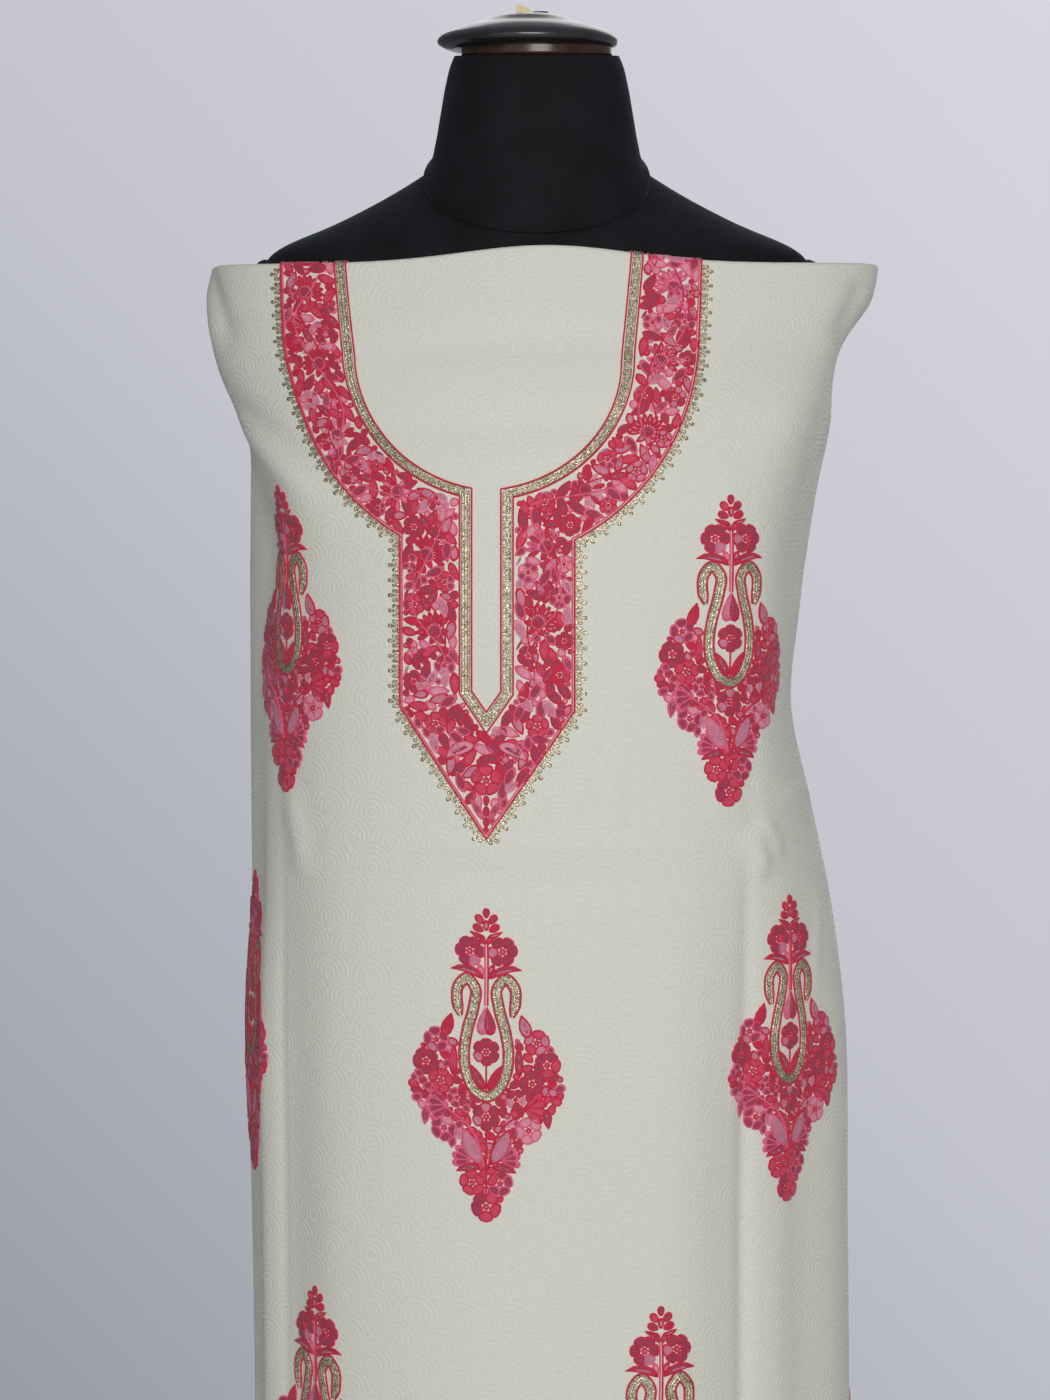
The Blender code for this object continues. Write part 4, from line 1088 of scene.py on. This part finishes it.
def neck_boundary(stretch, side, line):
    """(u, z) on one line, for side -1 or 1: stretch runs from 0 at the fold to 0.2 at the start of
    the half ellipse, to 1 round it, to 2 down the leg and to 3 along the pointed end. Below 0 it
    runs on over the fold, to where the end is turned in."""
    top_z = TOP_Z - FOLD_RADIUS - 0.001 - weave_rise(side * line.top_half)
    last_angle = math.acos(line.leg_half / line.half_width)
    corner_z = line.middle_z - line.drop * math.sin(last_angle)
    angle = np.clip((stretch - 0.2) / 0.8, 0, 1) * last_angle
    down = np.clip(stretch / 0.2, 0, 1)
    across = line.half_width * np.cos(angle) + (line.top_half - line.half_width) * (1 - down)
    z = line.middle_z - line.drop * np.sin(angle) + (top_z - line.middle_z) * (1 - down)
    leg, point = np.clip(stretch - 1, 0, 1), np.clip(stretch - 2, 0, 1)
    z = np.where(stretch > 1, corner_z + (line.shoulder_z - corner_z) * leg, z)
    z = np.where(stretch > 2, line.shoulder_z + (line.point_z - line.shoulder_z) * point, z)
    across = np.where(stretch > 1, line.leg_half, across) * (1 - point)
    return np.stack([side * across, z - np.minimum(stretch, 0) * 0.2], axis=-1)


print("the point is at", round(float(neck_boundary(np.array(3.0), 1, NECK_LINES[1])[1]), 4), "m")


# %% Between the two lines
def neck_flat(stretch, side, share):
    """Between the lines, in flat mm: x from the middle line and y down from the fold."""
    inner, outer = (neck_boundary(np.asarray(stretch, float), side, line) for line in NECK_LINES)
    place = inner + (outer - inner) * np.asarray(share, float)[..., None]
    return np.stack([place[..., 0], TOP_Z - place[..., 1]], axis=-1) * 1000


def neck_path(share, start=-0.055):
    """The whole line at one share, from the viewer's left top corner down to the point and up."""
    half = np.concatenate([np.linspace(start, 0.2, 30), np.linspace(0.2, 1, 90)[1:],
                           np.linspace(1, 2, 60)[1:], np.linspace(2, 3, 40)[1:]])
    return np.concatenate([neck_flat(half, -1, share), neck_flat(half, 1, share)[-2::-1]])


print("outer line", round(path_length(neck_path(1.0))[-1]), "mm long")

# %% Borders, metal strip and picot
def neck_edges():
    """Two crimson lines with the metal strip between them, and a double line outside."""
    wool, metal = Stitches(), Stitches()
    wool.add_cord(neck_path(0.000), 1.4, 1.0, "crimson", 0.1)
    wool.add_cord(neck_path(0.165), 1.4, 1.0, "crimson", 0.1)
    wool.add_cord(neck_path(1.000), 1.5, 1.0, "crimson", 0.15)
    wool.add_cord(neck_path(0.968), 1.3, 0.9, "pink", 0.1)
    metal.add_cord(neck_path(0.083), 6.0, 1.0, "lilac", 0.1, 1.6, lobes=3)
    return wool, metal


print("an edge line has", len(neck_path(0.0)), "points")


# %% The picot
def picot(pitch=9.8):
    """Trefoils of metal thread: three loops on a small arch, one every 9.8 mm along the outside."""
    layout = Layout(PICOT_SEED)
    path = neck_path(1.02, 0.004)
    along = path_length(path)
    middle = along[-1] / 2
    spots = middle + pitch * (np.arange(-int(middle / pitch), int(middle / pitch) + 1))
    x, y = (np.interp(spots, along, path[:, k]) for k in (0, 1))
    ahead_x, ahead_y = (np.interp(spots + 2.5, along, path[:, k]) -
                        np.interp(spots - 2.5, along, path[:, k]) for k in (0, 1))
    outward = np.degrees(np.arctan2(ahead_x, -ahead_y))
    loops = ((0, 7.6, 3.0), (-46, 5.8, 3.0), (46, 5.8, 3.0), (-82, 4.6, 2.3), (82, 4.6, 2.3))
    for px, py, heading in zip(x, y, outward):
        for turn, length, width in loops:
            layout.petal(px, py, heading + turn, length, width, 1.5, 0.45, pair=("pink", "pink"))
    return layout.stitches()


EDGE_WOOL, EDGE_METAL = neck_edges()
EDGE_WOOL.piece("neckline_lines", CREWEL, 0.0, TOP_Z, [], "crimson_wool")
EDGE_METAL.piece("neckline_metal_strip", TILLA, 0.0, TOP_Z, ["neck_metal_strip"], "metal_thread")
picot().piece("neckline_picot", TILLA, 0.0, TOP_Z, ["neck_picot_edging"], "metal_thread")
print("neckline edges laid")

# %% The flowers of the neckline
def neck_spot(side, down, share):
    """Where a figure goes: down mm along the middle of the band from the fold, at a share."""
    half = np.linspace(0, 3, 900)
    along = path_length(neck_flat(half, side, 0.58))
    stretch = np.interp(down, along, half)
    here, ahead = (neck_flat(stretch + step, side, share) for step in (0, 0.02))
    return here[0], here[1], math.degrees(math.atan2(ahead[1] - here[1], ahead[0] - here[0]))


print("a daisy lies at", [round(float(v), 1) for v in neck_spot(1, 18, 0.5)])

# %% The figures of the neckline
# Figures of each repeat of the band: distance past the daisy in mm, share, then radius or lean.
BAND_REPEAT = 52
BAND_FLOWERS = ((23, 0.37, 7.4), (28, 0.80, 7.8), (4, 0.86, 6.4))
BAND_LEAVES = ((12, 0.30, 28), (38, 0.58, -150), (33, 0.62, 150), (14, 0.84, -24))


def neck_layout():
    """Daisies, open flowers and leaves in turn down each side, and a pair of curled leaves at the
    point."""
    layout = Layout(NECK_SEED, NECK_SHARES)
    for side in (-1, 1):
        for turn, down in enumerate(np.arange(18, 318, BAND_REPEAT)):
            swap = 1 if turn % 2 else -1
            x, y, way = neck_spot(side, down, 0.56 - 0.06 * swap)
            layout.daisy(x, y, way + 180 + 38 * swap * side, 13.5)
            for step, share, radius in BAND_FLOWERS:
                x, y, way = neck_spot(side, down + step, share)
                layout.flower(x, y, radius, 5 + (turn + step) % 2, way)
            for step, share, lean in BAND_LEAVES:
                x, y, way = neck_spot(side, down + step, share)
                layout.leaf(x, y, way + lean * side, 14, 6.4, 20 * side)
        layout.leaf(side * 5, 326, 90 - side * 62, 27, 10, side * 60, ("crimson", "blush"))
        layout.leaf(side * 24, 322, 90 + side * 18, 18, 7, side * -30)
        layout.flower(side * 33, 314, 8.0, 5)
        layout.leaf(side * 1.5, 374, -90 + side * 34, 17, 5.4, side * 10)
    layout.flower(0, 348, 10.5, 5, -90)
    for rise in (0, 7, 14):
        layout.petal(0, 379 - rise, -90, 7.5, 4.6)
    return layout


NECK = neck_layout()
print("the neckline starts with", len(NECK.petals), "petals")


# %% Filling the band
def inside_band(x, y):
    """Even-odd test of cells against the part of the band that the flowers fill."""
    ring = np.concatenate([neck_path(0.190), neck_path(0.965)[::-1]])
    inside = np.zeros(x.shape, bool)
    for (x0, y0), (x1, y1) in zip(ring, np.roll(ring, -1, axis=0)):
        if y0 != y1:
            inside ^= ((y0 > y) != (y1 > y)) & (x < x0 + (y - y0) * (x1 - x0) / (y1 - y0))
    return inside


ground = Ground(-150, -12, 150, 392, inside_band)
rows, columns = ground.cells(NECK.petals)
kept = ground.closed[rows, columns].mean(axis=1) < 0.10
NECK.petals = [petal for petal, stays in zip(NECK.petals, kept) if stays]
ground.cover(NECK.petals)
STEMS = Stitches()
for side in (-1, 1):
    for share, swing, start, thread in ((0.56, 0.20, 0, "crimson"), (0.58, -0.24, 34, "pink")):
        spots = []
        for down in np.arange(6, 312, 9):
            wave = math.sin(math.pi * (down + start) / BAND_REPEAT)
            spots.append(neck_spot(side, down, share + swing * wave)[:2])
        STEMS.add_cord(smooth_path(spots), 1.5, 1.0, thread, 0.35)
ground.fill(NECK, [(16, 7.4, 0.85), (12, 6.6, 0.85), (9.5, 6.2, 0.8)], 900, 0.28)
ground.fill(NECK, [(7.0, 6.2, 0.48), (5.6, 5.0, 0.48), (4.4, 4.0, 0.48)], 1500, 0.30)
for name, sign in (("left", -1), ("right", 1)):
    half = Layout(0)
    half.petals = [p for p in NECK.petals if (p.x >= 0) == (sign > 0)]
    half.stitches().piece(f"neckline_flowers_{name}", CREWEL, 0.0, TOP_Z,
                          ["neck_flower_band"], "crimson_wool")
    print(name, len(half.petals), "petals")
STEMS.piece("neckline_stems", CREWEL, 0.0, TOP_Z, [], "crimson_wool")

# %% [markdown]
# ## The dress form
#
# The form is a moulded shell padded and covered in black cotton jersey, pulled tight, so it has no
# folds of its own: only the neck joint and a seam down each side show. The solids already have the
# right shape, but jersey wants smooth curves, so the same sloping sections are lofted here with
# many more rows and columns. A section lies on a plane that rises towards the back.

# %% Sloping sections
FormSection = namedtuple("FormSection", "z_side slope half_width front back square")
TORSO_SECTIONS = [FormSection(*row) for row in (
    (0.700, 0.00, 0.150, 0.096, 0.106, 2.2), (0.760, 0.00, 0.165, 0.102, 0.112, 2.2),
    (0.830, 0.00, 0.172, 0.105, 0.113, 2.2), (0.910, 0.00, 0.155, 0.102, 0.098, 2.2),
    (1.010, 0.00, 0.117, 0.089, 0.078, 2.1), (1.090, 0.00, 0.128, 0.102, 0.084, 2.1),
    (1.165, 0.00, 0.152, 0.122, 0.090, 2.2), (1.235, 0.02, 0.163, 0.104, 0.092, 2.3),
    (1.295, 0.05, 0.178, 0.086, 0.088, 2.2), (1.340, 0.10, 0.187, 0.073, 0.080, 2.1),
    (1.357, 0.16, 0.178, 0.069, 0.075, 2.0), (1.375, 0.30, 0.136, 0.067, 0.071, 2.0),
    (1.392, 0.48, 0.097, 0.067, 0.070, 2.0), (1.401, 0.60, 0.0765, 0.067, 0.069, 2.0),
)]
NECK_SECTIONS = [FormSection(*row) for row in (
    (1.4015, 0.60, 0.0765, 0.0670, 0.0690, 2.0), (1.4080, 0.59, 0.0772, 0.0672, 0.0692, 2.0),
    (1.4160, 0.52, 0.0725, 0.0635, 0.0660, 2.0), (1.4300, 0.40, 0.0690, 0.0605, 0.0635, 2.0),
    (1.4500, 0.27, 0.0655, 0.0590, 0.0615, 2.0), (1.4700, 0.20, 0.0620, 0.0570, 0.0590, 2.0),
    (1.4840, 0.16, 0.0585, 0.0545, 0.0560, 2.0), (1.4900, 0.15, 0.0560, 0.0525, 0.0540, 2.0),
)]


def closed_loft(name, table, rows, columns, seam=0.0):
    """A closed body through the sections; a seam is a shallow groove down each side, a bell in the
    angle round the form. The first and last rings shrink to a point to close the ends."""
    heights = [row.z_side for row in table]
    z_side = np.interp(np.linspace(0, 1, rows), np.linspace(0, 1, len(table)), heights)
    angle = np.linspace(0, 2 * math.pi, columns, endpoint=False)[None, :]
    slope, half_width, front, back, square = (
        column_at(table, field, z_side)[:, None] for field in FormSection._fields[1:])
    radius = section_radius(angle, half_width, half_width, front, back, square, square, square)
    off_side = np.minimum(np.abs(angle - math.pi / 2), np.abs(angle - 1.5 * math.pi)) * radius
    radius = radius - seam * np.exp(-((off_side / 0.0016) ** 2))
    x, y = radius * np.sin(angle), -radius * np.cos(angle)
    points = np.stack([x, y, z_side[:, None] + slope * y], axis=-1)
    ends = [np.broadcast_to(points[k].mean(axis=0), points[k].shape) for k in (0, -1)]
    near = [points[k] * 0.94 + ends[k] * 0.06 for k in (0, -1)]
    points = np.concatenate([ends[0][None], near[0][None], points, near[1][None], ends[1][None]])
    uv = np.stack(np.broadcast_arrays(angle * 0.12, points[..., 2]), axis=-1)
    mesh = mesh_of(name, points, grid_quads(len(points), columns, closed_round=True)[:, ::-1])
    add_uv(mesh, uv)
    return mesh


# %% [markdown]
# ## Jersey
#
# Jersey is a fine weft knit. Its loops, about 0.6 mm wide, stand in columns; they are drawn at
# 1.3 mm. Black cotton keeps a faint blue-grey bloom at grazing angles, which is the sheen.

# %% Black cotton jersey
LOOP_PITCH, LOOPS_ROUND = 0.0013, 420.0


def cotton_jersey():
    """Deep black knit: columns of loops, a little lint, and a soft sheen at the edges."""
    made, tree, shader = new_material(
        "black cotton jersey", Roughness=0.85, Sheen_Weight=0.10, Sheen_Roughness=0.4,
        Sheen_Tint=linear("#9FB0C4"), Specular_IOR_Level=0.25)
    place = add_node(tree, "ShaderNodeTexCoord").outputs["Object"]
    split = add_node(tree, "ShaderNodeSeparateXYZ", {"Vector": place})
    angle = add_node(tree, MATH, [split.outputs["X"], split.outputs["Y"]], operation="ARCTAN2")
    waves = []
    for source, turns in ((angle, LOOPS_ROUND), (split.outputs["Z"], 2 * math.pi / LOOP_PITCH)):
        turn = add_node(tree, MATH, [source, turns], operation="MULTIPLY")
        waves.append(add_node(tree, MATH, [turn], operation="SINE"))
    loops = add_node(tree, MATH, waves, operation="MULTIPLY")
    lint = add_node(tree, "ShaderNodeTexNoise", {"Vector": place, "Scale": 30.0, "Detail": 5.0})
    colour = add_node(tree, "ShaderNodeValToRGB", {"Fac": lint}, shader.inputs["Base Color"])
    set_ramp(colour, [(0.35, "#0B0D10"), (0.75, "#16191D")])
    relief = add_node(tree, MATH, [loops, 0.5, lint], operation="MULTIPLY_ADD")
    add_node(tree, "ShaderNodeBump", {"Height": relief, "Strength": 0.25, "Distance": 0.0003},
             shader.inputs["Normal"])
    return made


JERSEY = cotton_jersey()
torso = add_piece("padded_torso", closed_loft("padded_torso", TORSO_SECTIONS, 120, 160, 0.0008),
                  JERSEY, ["form_torso"])
neck = add_piece("padded_neck", closed_loft("padded_neck", NECK_SECTIONS, 48, 128), JERSEY,
                 ["form_neck"])
for side in ("left", "right"):
    for part in NODES[f"form_arm_plate_{side}"].material_slots:
        part.material = JERSEY
print("form", len(torso.data.polygons) + len(neck.data.polygons), "quads")

# %% [markdown]
# ## The cap, its fittings and the stand
#
# The cap is turned hardwood under many coats of black lacquer, so it is a profile swept round an
# axis, with crisp highlights. A brass tab and a loop of dark wire sit on it, tilted a little with
# it. The foot, collar, pole and flange of the stand are steel with a satin powder coat.

# %% Turned shapes
def turned(profile, steps=128, rows=6):
    """A profile of (radius, height) points, from top to bottom, swept round the z axis. A cubic
    through the points gives rows - 1 more between each two, so that lacquer shines smoothly."""
    profile = np.array(profile, float)
    knots = np.arange(len(profile))
    fine = np.linspace(0, len(profile) - 1, (len(profile) - 1) * rows + 1)
    Knot = namedtuple("Knot", "t r z")
    table = [Knot(t, *p) for t, p in zip(knots, profile)]
    r = np.clip(column_at(table, "r", fine), 0, None) if rows > 1 else profile[:, 0]
    z = column_at(table, "z", fine) if rows > 1 else profile[:, 1]
    angle = np.linspace(0, 2 * math.pi, steps, endpoint=False)
    x, y = r[:, None] * np.cos(angle), r[:, None] * np.sin(angle)
    points = np.stack(np.broadcast_arrays(x, y, z[:, None]), axis=-1)
    return points, grid_quads(len(points), steps, closed_round=True)


def tilted(points, degrees, place):
    """Points turned about the x axis and moved, so that the object itself stays at the origin."""
    a = math.radians(degrees)
    turn = np.array([[1, 0, 0], [0, math.cos(a), -math.sin(a)], [0, math.sin(a), math.cos(a)]])
    return points @ turn.T + np.array(place)


CAP_TILT, CAP_X, CAP_Z, CAP_HEIGHT = 4.5, -0.006, 1.5000, 0.0180
CAP_PROFILE = [
    (0.0, CAP_HEIGHT), (0.0160, CAP_HEIGHT), (0.0210, 0.0172), (0.0260, 0.0158), (0.0310, 0.0138),
    (0.0365, 0.0118), (0.0455, 0.0095), (0.0535, 0.0066), (0.0590, 0.0038), (0.0616, 0.0006),
    (0.0612, -0.0020), (0.0592, -0.0038), (0.0562, -0.0052), (0.0525, -0.0060), (0.0480, -0.0062),
    (0.0, -0.0062),
]
# Under the cap a short brown plug joins it to the neck, level with the cap above and with the
# neck's end below. Its brown is partly painted reflection: it stands in for a warm reflection seen
# under the black cap.
PLUG_SECTIONS = [FormSection(1.4905, 0.150, 0.0512, 0.0486, 0.0496, 2.0),
                 FormSection(1.4972, 0.079, 0.0512, 0.0496, 0.0496, 2.0)]

# %% Lacquer, brass and powder coat
def lacquered_wood():
    """Black lacquer: a dark base under a clear coat, with the faint ripple of brushed coats."""
    made, tree, shader = new_material("black lacquered wood", Roughness=0.38, Coat_Weight=0.8,
                                      Coat_Roughness=0.16, IOR=1.5)
    place = add_node(tree, "ShaderNodeTexCoord").outputs["Object"]
    ripple = add_node(tree, "ShaderNodeTexNoise", {"Vector": place, "Scale": 60.0, "Detail": 2.0})
    colour = add_node(tree, "ShaderNodeValToRGB", {"Fac": ripple}, shader.inputs["Base Color"])
    set_ramp(colour, [(0.3, "#151517"), (0.8, "#27272B")])
    add_node(tree, "ShaderNodeBump", {"Height": ripple, "Strength": 0.06, "Distance": 0.001},
             shader.inputs["Coat Normal"])
    return made


def grained(name, dark, light, metallic, low, high, scale):
    """A metal, a coat or a varnish whose colour and roughness vary with one fine noise."""
    made, tree, shader = new_material(name, Metallic=metallic)
    place = add_node(tree, "ShaderNodeTexCoord").outputs["Object"]
    grain = add_node(tree, "ShaderNodeTexNoise", {"Vector": place, "Scale": scale, "Detail": 4.0})
    colour = add_node(tree, "ShaderNodeValToRGB", {"Fac": grain}, shader.inputs["Base Color"])
    set_ramp(colour, [(0.3, dark), (0.7, light)])
    add_node(tree, MATH, [grain, high - low, low], shader.inputs["Roughness"],
             operation="MULTIPLY_ADD")
    add_node(tree, "ShaderNodeBump", {"Height": grain, "Strength": 0.15, "Distance": 0.0002},
             shader.inputs["Normal"])
    return made


LACQUER = lacquered_wood()
BRASS = grained("rolled brass sheet", "#8F8062", "#B3A484", 0.8, 0.40, 0.60, 900.0)
POWDER = grained("powder-coated steel", "#151517", "#222225", 0.0, 0.38, 0.52, 1400.0)
NICKEL = grained("nickel-plated steel", "#B9B9BC", "#D6D6D9", 1.0, 0.12, 0.25, 700.0)
# The plug's brown is partly the wood's colour and partly painted reflection of warm light under the
# cap.
VARNISH_AND_PAINTED_REFLECTION = grained("varnished brown wood", "#2A1B14", "#4A3023", 0.0, 0.16, 0.30, 120.0)
WIRE = grained("black iron wire", "#18181A", "#2A2A2C", 0.6, 0.30, 0.45, 900.0)

print("finishes", ", ".join(made.name for made in (LACQUER, BRASS, POWDER, NICKEL, VARNISH_AND_PAINTED_REFLECTION, WIRE)))

# %% The cap and the small fittings
points, quads = turned(CAP_PROFILE)
points = tilted(points, CAP_TILT, (CAP_X, 0, CAP_Z))
cap = add_piece("lacquered_cap", mesh_of("lacquered_cap", points, quads), LACQUER, ["form_cap"])
add_piece("varnished_plug", closed_loft("varnished_plug", PLUG_SECTIONS, 6, 128), VARNISH_AND_PAINTED_REFLECTION,
          ["form_cap_plug"])
finishes = {"form_cap_tab": BRASS, "form_cap_loop": WIRE}
finishes.update({f"back_pin_{n}": NICKEL for n in (1, 2, 3)})
for node, finish in finishes.items():
    for part in NODES[node].material_slots:
        part.material = finish
print("cap", len(cap.data.polygons), "quads")

# %% The stand
STAND = {
    "stand_foot": [(0.0, 0.008), (0.1, 0.008), (0.186, 0.008), (0.189, 0.0072), (0.190, 0.005),
                   (0.190, 0.0), (0.0, 0.0)],
    "stand_collar": [(0.0, 0.048), (0.024, 0.048), (0.0255, 0.0465), (0.026, 0.044), (0.030, 0.026),
                     (0.040, 0.014), (0.045, 0.0083), (0.0, 0.0083)],
    "stand_pole": [(0.0, 0.688), (0.016, 0.688), (0.016, 0.0483), (0.0, 0.0483)],
    "stand_flange": [(0.0, 0.6997), (0.060, 0.6997), (0.060, 0.696), (0.024, 0.6935),
                     (0.022, 0.6883), (0.0, 0.6883)],
}
for node, profile in STAND.items():
    points, quads = turned(profile, 96, rows=1)
    mesh = mesh_of(f"steel_{node[6:]}", points, quads)
    mesh.set_sharp_from_angle(angle=math.radians(35))
    add_piece(f"steel_{node[6:]}", mesh, POWDER, [node])
print("stand", ", ".join(STAND))

# %% [markdown]
# ## Studio
#
# A big soft light stands in front, a little to the right, with a weaker one on the left and one
# behind. A pale world fills the shadows and serves as the studio's wall; painted shade makes it
# darker towards the lower left and lighter towards the upper right. The floor is a plain disc.

# %% Floor, wall and lights
def make_studio():
    """A floor disc, a lavender-grey world with painted shade across the wall, a key light, a fill
    and a rim.
    """
    turn = np.linspace(0, 2 * math.pi, 96, endpoint=False)
    reach = np.linspace(0.001, 2.6, 8)
    disc = np.stack([reach[:, None] * np.cos(turn), reach[:, None] * np.sin(turn),
                     np.full((8, 96), -0.0005)], axis=-1)
    floor_finish, tree, shader = new_material(
        "painted floor", Base_Color=linear("#CFCDD2"), Roughness=0.7)
    grain = add_node(tree, "ShaderNodeTexNoise", {"Scale": 40.0, "Detail": 4.0})
    add_node(tree, "ShaderNodeBump", {"Height": grain, "Strength": 0.1, "Distance": 0.001},
             shader.inputs["Normal"])
    mesh = mesh_of("floor", disc, grid_quads(8, 96, closed_round=True))
    mesh.materials.append(floor_finish)
    floor = bpy.data.objects.new("floor", mesh)
    bpy.context.scene.collection.objects.link(floor)

    world = bpy.data.worlds.new("studio")
    bpy.context.scene.world = world
    world.use_nodes = True
    tree = world.node_tree
    background = tree.nodes["Background"]
    direction = add_node(tree, "ShaderNodeTexCoord").outputs["Generated"]
    split = add_node(tree, "ShaderNodeSeparateXYZ", {"Vector": direction})
    # Painted shade on the wall: darker towards the lower left and lighter towards the upper right.
    slant = add_node(tree, MATH, [split.outputs["X"], split.outputs["Z"]], operation="ADD")
    painted_shade = add_node(tree, MATH, [slant, 1.6, 0.5], operation="MULTIPLY_ADD")
    wall = add_node(tree, "ShaderNodeValToRGB", {"Fac": painted_shade}, background.inputs["Color"])
    set_ramp(wall, [(0.0, "#989DA5"), (0.5, "#C2C3CC"), (1.0, "#D8D5E0")])
    # The wall is seen at full strength, but lights the suit at less than a third of it.
    seen = add_node(tree, "ShaderNodeLightPath").outputs["Is Camera Ray"]
    add_node(tree, MATH, [seen, 0.70, 0.30], background.inputs["Strength"],
             operation="MULTIPLY_ADD")
    lights = [("key", (0.28, -3.4, 1.8), 1.7, 70.0, "#FFFEFC"),
              ("fill", (-1.6, -2.4, 1.2), 1.6, 5.0, "#F3F6FF"),
              ("rim", (0.3, 2.2, 2.2), 1.6, 8.0, "#FFFFFF")]
    for name, place, size, power, colour in lights:
        data = bpy.data.lights.new(name, "AREA")
        data.size, data.energy, data.color = size, power, linear(colour)[:3]
        light = bpy.data.objects.new(name, data)
        light.location = place
        towards = Vector((0, 0, 1.0)) - Vector(place)
        light.rotation_euler = towards.to_track_quat("-Z", "Y").to_euler()
        bpy.context.scene.collection.objects.link(light)
    bpy.context.scene.view_settings.view_transform = "Standard"


make_studio()
